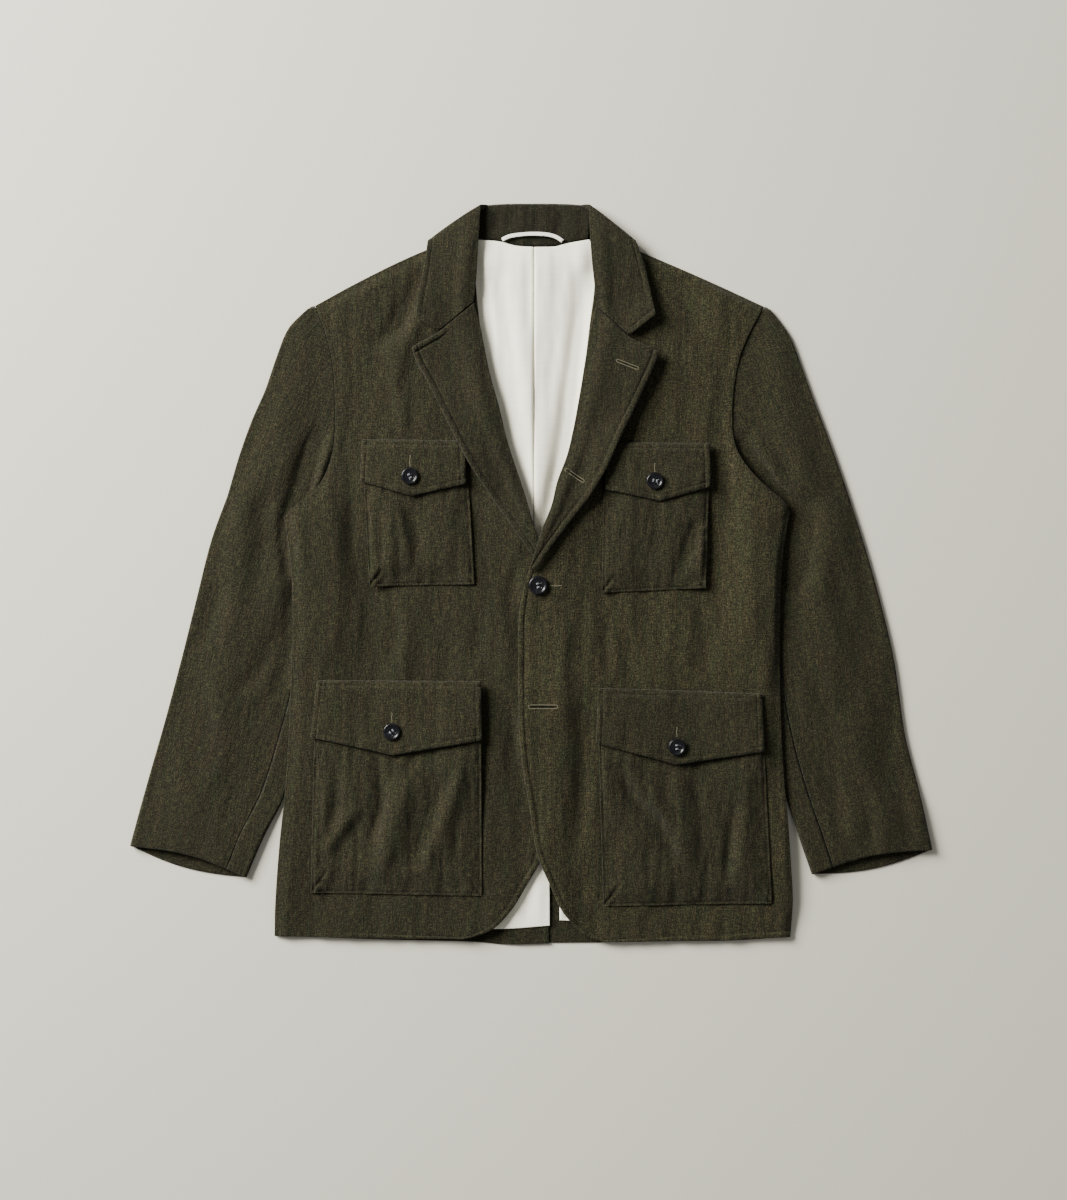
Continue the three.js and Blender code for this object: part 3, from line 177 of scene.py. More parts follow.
# Sleeves
SLEEVE_LEFT_HEAD = [(-233, 675), (-241, 668), (-257, 651), (-270, 619), (-281, 587), (-295, 555), (-308, 519),
                    (-321, 475)]
SLEEVE_LEFT_OUTER = [(-321, 475), (-338, 428), (-354, 365), (-370, 301), (-387, 237), (-405, 174),
                     (-424, 104)]
SLEEVE_LEFT_INNER = [(-261, 452), (-243, 425), (-231, 385), (-229, 330), (-234, 270), (-246, 215),
                     (-264, 153), (-283, 115), (-302, 71)]
SLEEVE_RIGHT_HEAD = [(250, 674), (259, 663), (273, 643), (285, 612), (297, 579), (309, 548), (324, 507),
                     (334, 478)]
SLEEVE_RIGHT_OUTER = [(334, 478), (350, 428), (368, 365), (383, 301), (395, 220), (409, 165), (423.5, 100)]
SLEEVE_RIGHT_INNER = [(273, 458), (256, 428), (244, 385), (242, 330), (246, 270), (256, 212), (270, 156),
                      (284, 112), (297, 74)]
SLEEVE_BELOW = [  # share of the way to the cuff, height of the crown, place of the seam in the width
    (0, 5.5, 0.98), (0.2, 5, 0.9), (0.45, 4, 0.86), (0.7, 3.4, 0.84), (0.9, 2.4, 0.82), (1, 1.2, 0.82),
]

# Pockets and flaps: corners from bottom left round to top left, then the place of a flap's button
BAGS = {
    "chest_left": [(-171, 379), (-60, 381), (-68, 521), (-178.5, 522)],
    "chest_right": [(74, 372), (184, 377), (188.5, 518), (77, 518)],
    "lower_left": [(-233, 55), (-52, 52), (-53, 266), (-228, 267)],
    "lower_right": [(76, 41), (254, 44), (243.5, 254), (69.5, 259)],
}
FLAPS = {
    "chest_left": [(-181, 490), (-126, 474), (-69, 487), (-70, 533), (-179, 534), (-128, 495)],
    "chest_right": [(78, 481), (136, 469), (189, 484), (188, 530), (76, 531), (130, 490)],
    "lower_left": [(-233, 220), (-146, 201), (-52, 217), (-53, 279), (-226, 280), (-147, 226)],
    "lower_right": [(68, 214), (153, 191), (245, 205), (243, 266), (70, 272), (153, 210)],
}

# Plan geometry

class Line:
    """A smooth line through points, run by its share of length from 0 to 1."""

    def __init__(self, points):
        p = np.array(points, float)
        if len(p) > 2:
            p = np.vstack([2 * p[0] - p[1], p, 2 * p[-1] - p[-2]])
            knots = np.concatenate([[0], np.cumsum(np.linalg.norm(np.diff(p, axis=0), axis=1) ** 0.5)])
            parts = []
            for k in range(1, len(p) - 2):
                t0, t1, t2, t3 = knots[k - 1:k + 3]
                t = np.linspace(t1, t2, 25)[:-1, None]
                a1 = (t1 - t) / (t1 - t0) * p[k - 1] + (t - t0) / (t1 - t0) * p[k]
                a2 = (t2 - t) / (t2 - t1) * p[k] + (t - t1) / (t2 - t1) * p[k + 1]
                a3 = (t3 - t) / (t3 - t2) * p[k + 1] + (t - t2) / (t3 - t2) * p[k + 2]
                b1 = (t2 - t) / (t2 - t0) * a1 + (t - t0) / (t2 - t0) * a2
                b2 = (t3 - t) / (t3 - t1) * a2 + (t - t1) / (t3 - t1) * a3
                parts.append((t2 - t) / (t2 - t1) * b1 + (t - t1) / (t2 - t1) * b2)
            p = np.vstack(parts + [p[-2:-1]])
        self.points = p
        along = np.concatenate([[0], np.cumsum(np.linalg.norm(np.diff(p, axis=0), axis=1))])
        self.length = along[-1]
        self.share = along / along[-1]

    def at(self, share):
        share = np.clip(share, 0, 1)
        return np.stack([np.interp(share, self.share, self.points[:, k]) for k in (0, 1)], -1)


class Joined:
    """Several lines end to end, each taking its own share of the run."""

    def __init__(self, *parts):
        self.lines = [Line(points) for points, _ in parts]
        self.ends = np.cumsum([share for _, share in parts])
        self.length = sum(line.length for line in self.lines)

    def at(self, share):
        share = np.asarray(share, float)
        out = np.zeros(share.shape + (2,))
        start = 0.0
        for line, end in zip(self.lines, self.ends):
            here = (share >= start - 1e-9) & (share <= end + 1e-9)
            out[here] = line.at((share[here] - start) / (end - start))
            start = end
        return out


def steps(length, step, near=(0.3, 0.8, 1.5, 2.4, 3.6, 4.9, 5.8, 6.5, 7.2, 8.4, 10.5)):
    """Shares of a length, close together near both ends."""
    near = [d for d in near if d < length * 0.3]
    inner = length - 2 * near[-1]
    middle = near[-1] + np.linspace(0, inner, max(2, int(inner / step) + 1))
    marks = np.concatenate([[0], near[:-1], middle, length - np.array(near[:-1][::-1]), [length]])
    return marks / length


def patch(left, right, bottom, top, us, vs):
    """Plan points between four lines: rows run upwards, columns to the right."""
    lines = [line if hasattr(line, "at") else Line(line) for line in (left, right, bottom, top)]
    left, right, bottom, top = lines
    on_left, on_right = left.at(vs)[:, None], right.at(vs)[:, None]
    on_bottom, on_top = bottom.at(us)[None], top.at(us)[None]
    u, v = us[None, :, None], vs[:, None, None]
    ends = np.array([0.0, 1.0])
    low_left, high_left, low_right, high_right = *left.at(ends), *right.at(ends)
    flat = (1 - v) * ((1 - u) * low_left + u * low_right) + v * ((1 - u) * high_left + u * high_right)
    return (1 - u) * on_left + u * on_right + (1 - v) * on_bottom + v * on_top - flat


def smooth(t):
    t = np.clip(t, 0, 1)
    return t * t * (3 - 2 * t)


def run(points, axis):
    """Distance run along the rows (axis 0) or columns (axis 1) of a grid of points."""
    step = np.linalg.norm(np.diff(points, axis=axis), axis=-1)
    zero = np.zeros_like(np.take(step, [0], axis=axis))
    return np.concatenate([zero, np.cumsum(step, axis=axis)], axis=axis)


def edge_distances(points):
    """Distance of every grid point from its left, right, bottom and top edges."""
    across, up = run(points, 1), run(points, 0)
    return across, across[:, -1:] - across, up, up[-1:] - up


def distance_to(x, y, line):
    """Distance of points from a line, by its dense points."""
    points = (line if hasattr(line, "points") else Line(line)).points
    best = np.full(np.shape(x), 1e9)
    for px, py in points[::2]:
        best = np.minimum(best, (x - px) ** 2 + (y - py) ** 2)
    return np.sqrt(best)


# What lies where: the height reached so far over a plan grid
CELL = 2.0
LOW = np.array([-450.0, -24.0])
SHAPE = (426, 452)
reached = np.zeros(SHAPE)


def stamp(sheet, cuts=3):
    """Raises the reached height to a sheet of points."""
    share = np.arange(cuts + 1) / cuts
    for u in share:
        for v in share:
            p = ((1 - u) * (1 - v) * sheet[:-1, :-1] + u * (1 - v) * sheet[:-1, 1:]
                 + (1 - u) * v * sheet[1:, :-1] + u * v * sheet[1:, 1:])
            cell = np.round((p[..., :2] - LOW) / CELL).astype(int)
            np.maximum.at(reached, (cell[..., 1].ravel(), cell[..., 0].ravel()), p[..., 2].ravel())


def spread(field, reach, measure):
    """Each cell takes the highest or the mean of the cells within a reach, along x and then y."""
    for axis in (0, 1):
        near = [np.roll(field, k, axis) for k in range(-reach, reach + 1)]
        field = measure(near, axis=0)
    return field


def sloped(field):
    """Cloth comes down from what it covers no more steeply than the drape slope."""
    drop = DRAPE_SLOPE * CELL
    for _ in range(int(field.max() / drop) + 1):
        beside = [np.roll(field, k, axis) - drop for k in (-1, 1) for axis in (0, 1)]
        across = [np.roll(field, (a, b), (0, 1)) - drop * math.sqrt(2) for a in (-1, 1) for b in (-1, 1)]
        field = np.maximum.reduce([field, *beside, *across])
    return field


def value_at(field, x, y):
    column = np.clip((x - LOW[0]) / CELL, 0, SHAPE[1] - 1.001)
    row = np.clip((y - LOW[1]) / CELL, 0, SHAPE[0] - 1.001)
    c, r = column.astype(int), row.astype(int)
    s, t = column - c, row - r
    return ((1 - s) * (1 - t) * field[r, c] + s * (1 - t) * field[r, c + 1]
            + (1 - s) * t * field[r + 1, c] + s * t * field[r + 1, c + 1])


def ground():
    """The surface that the next layer lies on: smooth for its shape, close for its clearance."""
    bridged = spread(reached, 4, np.max)
    return spread(spread(sloped(bridged), 3, np.mean), 1, np.mean), spread(reached, 1, np.max)


def parted(height):
    """A layer lies a seam's gap above what is under it, and on the floor itself."""
    return height + SEAM * np.minimum(1, height / SEAM)


def laid(plan, base, loft=0.0):
    """Bottom sheet of a layer that lies on the ground, lifted by its loft."""
    x, y = plan[..., 0], plan[..., 1]
    soft, close = (value_at(field, x, y) for field in base)
    lowest = parted(close)
    above = parted(soft) + loft - lowest
    z = lowest + (above + np.sqrt(above ** 2 + SOFTENING ** 2)) / 2 - SOFTENING / 2
    return np.dstack([x, y, np.maximum(z, lowest)])


# Seeded noise over the plan, about -1 to 1
rng = np.random.default_rng(7)
KNOTS = 64
LATTICE = rng.uniform(-1, 1, (8, KNOTS, KNOTS))


def noise(x, y, size_x, size_y, layer=0):
    u, v = x / size_x + 17.3 * layer, y / size_y + 9.1 * layer
    i, j = np.floor(u).astype(int), np.floor(v).astype(int)
    s, t = u - i, v - j
    s, t = (w * w * w * (w * (6 * w - 15) + 10) for w in (s, t))
    table = LATTICE[layer % len(LATTICE)]
    left, right, below, above = i % KNOTS, (i + 1) % KNOTS, j % KNOTS, (j + 1) % KNOTS
    low = table[below, left] * (1 - s) + table[below, right] * s
    high = table[above, left] * (1 - s) + table[above, right] * s
    return low * (1 - t) + high * t


# Meshes
button_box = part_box("button_front")
SHIFT = np.array([(button_box[0][k] + button_box[1][k]) / 2 - FRONT_BUTTON_AT[k] * MM for k in (0, 1)] + [0.0])


def new_object(name, vertices, faces, material, uv=None):
    """A mesh in metres from millimetre points, with the grain of its cloth as UV in metres."""
    mesh = bpy.data.meshes.new(name)
    mesh.from_pydata((np.asarray(vertices) * MM + SHIFT).tolist(), [], faces)
    if uv is not None:
        loops = np.zeros(len(mesh.loops), int)
        mesh.loops.foreach_get("vertex_index", loops)
        layer = mesh.uv_layers.new(name="grain")
        layer.data.foreach_set("uv", (np.asarray(uv)[loops] * MM).ravel())
    mesh.polygons.foreach_set("use_smooth", [True] * len(mesh.polygons))
    mesh.materials.append(material)
    mesh.validate()
    mesh.update()
    piece = bpy.data.objects.new(name, mesh)
    bpy.context.scene.collection.objects.link(piece)
    return piece


def wall(name, outer, inner, material, uv):
    """A closed mesh from two facing sheets that share their edge points."""
    rows, columns = outer.shape[:2]
    top = np.arange(rows * columns).reshape(rows, columns)
    under = top.copy()
    inside = (slice(1, -1), slice(1, -1))
    under[inside] = rows * columns + np.arange((rows - 2) * (columns - 2)).reshape(rows - 2, columns - 2)
    vertices = np.vstack([outer.reshape(-1, 3), inner[inside].reshape(-1, 3)])
    grain = np.vstack([uv.reshape(-1, 2), uv[inside].reshape(-1, 2)])

    def quads(index, flip):
        a, b, c, d = index[:-1, :-1], index[:-1, 1:], index[1:, 1:], index[1:, :-1]
        order = (a, d, c, b) if flip else (a, b, c, d)
        return np.stack([k.ravel() for k in order], 1)

    faces = np.vstack([quads(top, False), quads(under, True)]).tolist()
    return new_object(name, vertices, faces, material, grain)


def thickened(name, middle, half, radius, material, uv, facing=1):
    """A wall round its middle sheet that closes in a round edge; gives the piece and its outer face."""
    normal = np.cross(np.gradient(middle, axis=1), np.gradient(middle, axis=0))
    normal *= facing / (np.linalg.norm(normal, axis=-1, keepdims=True) + 1e-12)
    edge = np.minimum(np.minimum.reduce(edge_distances(middle)) / radius, 1)
    offset = normal * (half * np.sqrt(np.clip(1 - (1 - edge) ** 2, 0, 1)))[..., None]
    sheets = [middle + offset, middle - offset, uv]
    if facing < 0:
        sheets = [sheet[:, ::-1] for sheet in sheets]
    outer, inner, grain = sheets
    return wall(name, outer, inner, material, grain), outer


# Materials
class Graph:
    """A node tree built from the output back."""

    def __init__(self, name):
        self.material = bpy.data.materials.new(name)
        self.material.use_nodes = True
        self.tree = self.material.node_tree
        self.tree.nodes.clear()

    def node(self, kind, settings=None, **inputs):
        made = self.tree.nodes.new("ShaderNode" + kind)
        for key, value in (settings or {}).items():
            setattr(made, key, value)
        for key, value in inputs.items():
            numbered = key[0] == "i" and key[1:].isdigit()
            socket = made.inputs[int(key[1:]) if numbered else key.replace("_", " ")]
            if isinstance(value, bpy.types.NodeSocket):
                self.tree.links.new(value, socket)
            else:
                socket.default_value = value
        return made.outputs

    def stretched(self, coordinates, across, along, detail=2.0, offset=0.0):
        """Noise from 0 to 1 with that many features to the metre across and along the grain."""
        moved = self.node("Mapping", None, Vector=coordinates, Scale=(across, along, 1.0),
                          Location=(offset, offset * 0.7, 0.0))[0]
        return self.node("TexNoise", {"noise_dimensions": "2D"}, Vector=moved, Scale=1.0, Detail=detail,
                         Roughness=0.55)["Fac"]

    def kinked(self, noise_socket):
        """Noise folded at its middle value, so that it has sharp crests."""
        centred = self.node("Math", {"operation": "SUBTRACT"}, i0=noise_socket, i1=0.5)[0]
        return self.node("Math", {"operation": "ABSOLUTE"}, i0=centred)[0]

    def total(self, start, *terms):
        """start plus each noise, taken from its middle, times its weight."""
        value = start
        for socket, weight in terms:
            centred = self.node("Math", {"operation": "SUBTRACT"}, i0=socket, i1=0.5)[0]
            value = self.node("Math", {"operation": "MULTIPLY_ADD"}, i0=centred, i1=weight, i2=value)[0]
        return value

    def ramp(self, factor, *stops):
        made = self.tree.nodes.new("ShaderNodeValToRGB")
        ramp = made.color_ramp
        while len(ramp.elements) < len(stops):
            ramp.elements.new(0.5)
        for element, (place, colour) in zip(ramp.elements, stops):
            element.position = place
            element.color = (*colour, 1.0)
        self.tree.links.new(factor, made.inputs[0])
        return made.outputs[0]

    def finish(self, **inputs):
        surface = self.node("BsdfPrincipled", None, **inputs)[0]
        self.node("OutputMaterial", None, Surface=surface)
        return self.material


def scaled(colour, factor):
    return tuple(c * factor for c in colour)


WEAVE = {  # features to the metre across and along the warp, octaves, offset
    "slub": (300, 26, 3, 0), "warp": (720, 130, 2, 3), "weft": (130, 760, 2, 5), "speck": (760, 640, 2, 7),
    "fine": (1150, 1000, 1, 8), "drift": (40, 11, 3, 9), "streak": (260, 24, 2, 11), "cloud": (60, 18, 2, 12),
    "fleck": (700, 420, 1, 13), "crinkle": (150, 46, 3, 15), "fold": (46, 10, 2, 17), "crease": (84, 24, 2, 19),
}
TONE = {"slub": 0.22, "warp": 0.9, "weft": 0.9, "speck": 1.7, "fine": 1.1, "drift": 0.08}
TONE_RAMP = {0.02: 0.25, 0.36: 0.7, 0.62: 1.24, 0.98: 2.7}  # tone: share of the cloth's colour
HUE = {"streak": 0.9, "cloud": 0.6, "fleck": 1.2}
HUE_RAMP = {0.15: (0.84, 1.04, 0.9), 0.5: (1.0, 1.0, 1.0), 0.85: (1.2, 0.97, 1.02)}
SHARP = {"fold": -5.0, "crease": -2.6}
ROUGH = {"crinkle": 0.6, "slub": 0.5, "warp": 1.0, "weft": 0.9, "speck": 1.3, "fine": 0.7}
ROUGH_DEPTH = 0.0005  # in metres


def woven(name, colour, seed, contrast=1.0):
    """Slubby cloth: short uneven warp threads crossed by weft, speckled in two tones that drift."""
    g = Graph(name)
    grain = g.node("UVMap", {"uv_map": "grain"})[0]
    noises = {key: g.stretched(grain, across, along, octaves, seed + offset)
              for key, (across, along, octaves, offset) in WEAVE.items()}
    tone = g.total(0.5, *((noises[key], weight * contrast) for key, weight in TONE.items()))
    base = g.ramp(tone, *((place, scaled(colour, share)) for place, share in TONE_RAMP.items()))
    hue = g.total(0.5, *((noises[key], weight) for key, weight in HUE.items()))
    tint = g.ramp(hue, *HUE_RAMP.items())
    mixed = g.node("Mix", {"data_type": "RGBA", "blend_type": "MULTIPLY"}, i0=1.0, i6=base, i7=tint)[2]
    sharp = ((g.kinked(noises[key]), weight) for key, weight in SHARP.items())
    rough = g.total(0.5, *sharp, *((noises[key], weight) for key, weight in ROUGH.items()))
    bump = g.node("Bump", None, Strength=1.0, Distance=ROUGH_DEPTH, Height=rough)[0]
    return g.finish(Base_Color=mixed, Roughness=0.93, Specular_IOR_Level=0.14, Sheen_Weight=0.1,
                    Sheen_Roughness=0.5, Normal=bump)


def plain_cloth(name, colour, seed, contrast=0.12):
    """Smooth cloth with a faint weave."""
    g = Graph(name)
    grain = g.node("UVMap", {"uv_map": "grain"})[0]
    warp = g.stretched(grain, 800, 30, 2, seed)
    weft = g.stretched(grain, 30, 800, 2, seed + 3)
    drift = g.stretched(grain, 120, 5, 2, seed + 5)
    tone = g.total(0.5, (warp, 0.8), (weft, 0.7), (drift, 0.6))
    base = g.ramp(tone, (0.1, scaled(colour, 1 - contrast)), (0.9, scaled(colour, 1 + contrast * 0.4)))
    bump = g.node("Bump", None, Strength=0.6, Distance=0.00015, Height=tone)[0]
    return g.finish(Base_Color=base, Roughness=0.75, Specular_IOR_Level=0.2, Normal=bump)


def plain(name, colour, roughness, specular=0.3):
    return Graph(name).finish(Base_Color=(*colour, 1.0), Roughness=roughness, Specular_IOR_Level=specular)


def horn():
    """Polished dark button, faintly clouded."""
    g = Graph("button_horn")
    place = g.node("TexCoord", None)["Object"]
    cloud = g.node("TexNoise", None, Vector=place, Scale=160.0, Detail=4.0, Roughness=0.6, Distortion=1.2)
    base = g.ramp(cloud["Fac"], (0.35, (0.003, 0.003, 0.004)), (0.6, (0.0055, 0.0058, 0.0075)),
                  (0.78, (0.022, 0.022, 0.028)))
    return g.finish(Base_Color=base, Roughness=0.24, Specular_IOR_Level=0.32)


OLIVE = (0.0147, 0.0139, 0.0061)
# Lit and shaded copies of one cloth: the right front is 1.3 times and the right sleeve 1.06 times as bright, painted
# light on the side away from the key light; the left sleeve is 0.94 times, painted shade on the side nearest it.
front_cloth = {"left": woven("olive_cloth_front_left", OLIVE, 0.0),
               "right": woven("olive_cloth_front_right_painted_light", scaled(OLIVE, 1.3), 31.0)}
sleeve_cloth = {"left": woven("olive_cloth_sleeve_left_painted_shade", scaled(OLIVE, 0.94), 53.0),
                "right": woven("olive_cloth_sleeve_right_painted_light", scaled(OLIVE, 1.06), 61.0)}
back_cloth = woven("olive_cloth_back", scaled(OLIVE, 0.9), 71.0)
small_cloth = woven("olive_cloth_pockets", scaled(OLIVE, 1.02), 97.0)
collar_cloth = woven("olive_cloth_collar", scaled(OLIVE, 0.92), 119.0, 0.9)
# Painted shade: the stand's cloth is 0.62 times the olive, darker than the rest for the shade it lies in under the
# collar's roll.
shaded_stand_cloth = woven("olive_cloth_stand_painted_shade", scaled(OLIVE, 0.62), 143.0, 0.9)
lining_cloth = plain_cloth("lining_cream", (0.985, 0.955, 0.79), 5.0)
ribbon_cloth = plain_cloth("ribbon_cream", (0.84, 0.82, 0.75), 23.0)
thread = plain("olive_thread", (0.03, 0.027, 0.015), 0.8, 0.2)
hole_thread = plain("buttonhole_thread", (0.1, 0.092, 0.056), 0.75, 0.25)
# Painted shade: a near-black sheet that fills each buttonhole's slit.
slit_shade = plain("buttonhole_slit_painted_shade", (0.004, 0.0038, 0.003), 0.95, 0.1)
button_thread = plain("button_thread", (0.16, 0.17, 0.19), 0.6, 0.3)
horn_material = horn()

# Creases, listed one by one: points along the left flank, width across and height (- is a trough)
CREASES = {
    "front_left": [
        ([(-117, 720), (-132, 683), (-154, 651), (-175, 630)], 9, -2.2),
        ([(-127, 656), (-145, 624), (-158, 582)], 9, 1.3),
        ([(-123, 621), (-131, 582)], 7, -1.0),
        ([(-192, 672), (-203, 577)], 6, 0.5),
        ([(-205, 540), (-196, 470), (-200, 400)], 8, -1.0),
        ([(-216, 470), (-208, 390), (-214, 310)], 9, 0.9),
        ([(-180, 367), (-167, 288)], 9, 1.6),
        ([(-204, 367), (-200, 325)], 6, -1.2),
        ([(-153, 372), (-148, 330), (-154, 290)], 7, -1.0),
        ([(-100, 338), (-99, 312)], 5, -1.2),
        ([(-93, 363), (-96, 322)], 6, 0.9),
        ([(-131, 317), (-127, 269)], 7, 0.8),
        ([(-84, 383), (-81, 343)], 6, 0.9),
        ([(-62, 376), (-60, 330), (-66, 290)], 7, -0.9),
        ([(-38, 390), (-34, 330), (-30, 280)], 8, 0.9),
        ([(-243, 387), (-242, 285)], 6, -1.2),
        ([(-28, 259), (-21, 206), (-12, 142)], 7, -1.2),
        ([(-40, 240), (-36, 170), (-26, 100)], 8, 0.8),
        ([(-190, 57), (-188, 15)], 6, -0.9),
        ([(-165, 59), (-163, 15)], 8, 0.8),
        ([(-139, 57), (-137, 15)], 6, -0.9),
        ([(-116, 55), (-114, 17)], 6, -0.9),
        ([(-89, 57), (-86, 20)], 8, 0.9),
        ([(-62, 54), (-60, 25)], 6, -1.6),
        ([(-8, 420), (-24, 384), (-30, 345)], 7, -0.9),
    ],
    "front_right": [
        ([(46, 372), (44, 280), (44, 174), (33, 78), (41, 47)], 12, -1.3),
        ([(55, 396), (56, 322), (55, 259)], 8, 0.6),
        ([(26, 350), (24, 290), (26, 220)], 8, 0.7),
        ([(52, 232), (57, 179)], 5, -0.8),
        ([(76, 350), (74, 320), (78, 282)], 6, -0.8),
        ([(123, 330), (125, 301)], 5, -1.0),
        ([(94, 289), (96, 269)], 5, -1.0),
        ([(136, 297), (138, 269)], 5, -1.0),
        ([(156, 366), (160, 330), (158, 290)], 8, 0.8),
        ([(176, 362), (180, 325), (176, 280)], 8, -0.7),
        ([(200, 386), (202, 322)], 7, -1.0),
        ([(222, 370), (223, 322)], 6, -0.9),
        ([(238, 383), (239, 293)], 8, 1.1),
        ([(252, 300), (256, 220), (258, 120)], 8, -0.8),
        ([(152, 629), (179, 603), (201, 576)], 14, 1.0),
        ([(145, 706), (157, 672), (173, 644)], 12, -1.1),
        ([(196, 560), (204, 500), (200, 430)], 9, -0.9),
        ([(60, 44), (64, 24), (62, 8)], 6, -0.8),
        ([(120, 36), (118, 22), (120, 8)], 7, -0.7),
        ([(186, 38), (190, 24), (188, 8)], 7, 0.7),
    ],
    "pocket_chest_left": [
        ([(-125, 465), (-125, 420)], 5, -1.8),
        ([(-111, 437), (-118, 391)], 5, -1.4),
        ([(-147, 470), (-137, 428), (-135, 395)], 6, 1.1),
        ([(-113, 461), (-122, 412)], 4, 0.8),
        ([(-89, 453), (-84, 395)], 6, 1.5),
        ([(-98, 461), (-96, 420)], 5, -1.2),
        ([(-149, 437), (-139, 400)], 5, -1.1),
        ([(-166, 470), (-163, 430), (-165, 400)], 6, -0.8),
    ],
    "pocket_chest_right": [
        ([(81, 408), (79, 379)], 5, -1.3),
        ([(97, 444), (91, 407)], 6, 1.0),
        ([(116, 465), (103, 400)], 6, -1.3),
        ([(123, 453), (126, 400)], 6, 1.2),
        ([(145, 437), (138, 396)], 6, 1.0),
        ([(168, 449), (160, 418), (150, 388)], 8, -2.0),
    ],
    "pocket_lower_left": [
        ([(-125, 191), (-145, 146), (-157, 106), (-178, 68)], 11, 1.6),
        ([(-96, 184), (-113, 129), (-133, 81)], 8, -1.7),
        ([(-76, 195), (-90, 146), (-97, 89)], 7, 0.9),
        ([(-65, 174), (-74, 89)], 6, -1.0),
        ([(-216, 206), (-210, 153), (-219, 110)], 7, -1.2),
        ([(-192, 206), (-182, 158)], 8, 1.2),
        ([(-186, 148), (-208, 121), (-222, 94)], 7, 1.1),
        ([(-165, 199), (-163, 153), (-175, 110)], 7, -1.3),
    ],
    "pocket_lower_right": [
        ([(85, 195), (101, 155), (131, 123), (145, 84)], 8, -1.9),
        ([(149, 182), (153, 137), (165, 68)], 10, 1.7),
        ([(175, 169), (181, 126)], 6, -1.2),
        ([(187, 146), (189, 105)], 6, 1.0),
        ([(210, 153), (204, 105), (200, 63)], 7, -1.9),
        ([(218, 122), (219, 89)], 6, 1.0),
        ([(97, 87), (97, 52)], 5, -1.1),
        ([(140, 73), (143, 54)], 5, -0.8),
        ([(193, 65), (192, 50)], 5, -0.8),
        ([(118, 190), (124, 160), (134, 138)], 7, 0.9),
    ],
    "flap_chest_left": [
        ([(-144, 520), (-143, 487)], 5, -0.9),
        ([(-109, 520), (-110, 490)], 5, 0.9),
        ([(-91, 520), (-91, 487)], 5, -0.9),
    ],
    "flap_chest_right": [
        ([(104, 520), (103, 486)], 6, -0.6),
        ([(160, 520), (162, 486)], 6, 0.6),
    ],
    "flap_lower_left": [
        ([(-190, 268), (-192, 226)], 7, -0.7),
        ([(-118, 268), (-114, 222)], 7, 0.7),
        ([(-84, 268), (-82, 226)], 6, -0.7),
    ],
    "flap_lower_right": [
        ([(106, 262), (106, 220)], 7, 0.7),
        ([(158, 268), (158, 232)], 5, -1.2),
        ([(211, 257), (211, 211)], 5, -1.2),
    ],
}
SLEEVE_CREASES = {
    "left": [
        ([(-227, 548), (-238, 524), (-244, 502), (-248, 482), (-257, 464), (-268, 450)], 9, -5.4),
        ([(-268, 454), (-265, 420), (-263, 385)], 6, -3.2),
        ([(-256, 540), (-269, 500), (-284, 430)], 12, 1.4),
        ([(-300, 480), (-296, 420), (-310, 350)], 13, -1.3),
        ([(-256, 391), (-262, 322), (-277, 259)], 8, -1.4),
        ([(-262, 440), (-276, 380), (-290, 320)], 12, 1.3),
        ([(-332, 385), (-346, 349), (-357, 313)], 11, -1.1),
        ([(-313, 322), (-323, 275)], 11, -1.1),
        ([(-311, 394), (-320, 343)], 11, 1.1),
        ([(-276, 330), (-296, 290), (-322, 262)], 9, -1.0),
        ([(-284, 243), (-293, 169)], 12, 1.7),
        ([(-271, 187), (-279, 137)], 8, -2.0),
        ([(-370, 280), (-354, 230), (-366, 170)], 14, -1.0),
        ([(-356, 158), (-366, 105)], 8, -1.3),
        ([(-328, 163), (-339, 100)], 8, -1.4),
        ([(-293, 153), (-309, 89)], 8, -1.6),
        ([(-345, 139), (-351, 105)], 7, 1.1),
        ([(-321, 144), (-324, 100)], 7, 1.1),
    ],
    "right": [
        ([(216, 538), (224, 520), (236, 503), (248, 490)], 8, -4.0),
        ([(228, 510), (243, 488), (266, 466), (284, 446)], 9, -2.6),
        ([(246, 640), (262, 570), (280, 500)], 18, 0.5),
        ([(258, 644), (260, 621)], 7, -1.1),
        ([(250, 556), (268, 512), (290, 462)], 13, 1.2),
        ([(277, 478), (273, 430), (263, 370)], 17, -3.6),
        ([(306, 500), (304, 430), (322, 350)], 13, -1.2),
        ([(285, 391), (297, 322), (308, 253)], 18, 2.0),
        ([(342, 430), (350, 360), (362, 300)], 12, -0.9),
        ([(290, 360), (310, 300), (336, 250)], 10, -0.9),
        ([(262, 320), (284, 260), (300, 210)], 11, 0.9),
        ([(382, 270), (370, 210), (384, 150)], 13, -1.0),
        ([(330, 240), (342, 180), (360, 130)], 14, 1.0),
        ([(298, 200), (316, 150), (322, 110)], 9, -0.9),
        ([(346, 170), (352, 130), (350, 96)], 8, -1.1),
        ([(384, 160), (390, 128), (396, 96)], 8, -1.0),
    ],
}
LINING_CREASES = {
    "left": [([(-40, 716), (-30, 640), (-20, 560), (-8, 480)], 8, -1.0),
             ([(-51, 702), (-46, 660), (-40, 620)], 4, -0.9), ([(-42, 692), (-36, 640), (-30, 590)], 4, -0.7),
             ([(-22, 724), (-18, 650), (-10, 560)], 9, 0.4), ([(-24, 100), (-10, 70), (-14, 24)], 7, -0.4)],
    "right": [([(47, 716), (40, 640), (29, 556), (12, 446)], 10, -3.4), ([(62, 690), (52, 600), (34, 510)], 7, 0.9),
              ([(24, 720), (20, 640), (12, 560)], 8, -0.5)],
}
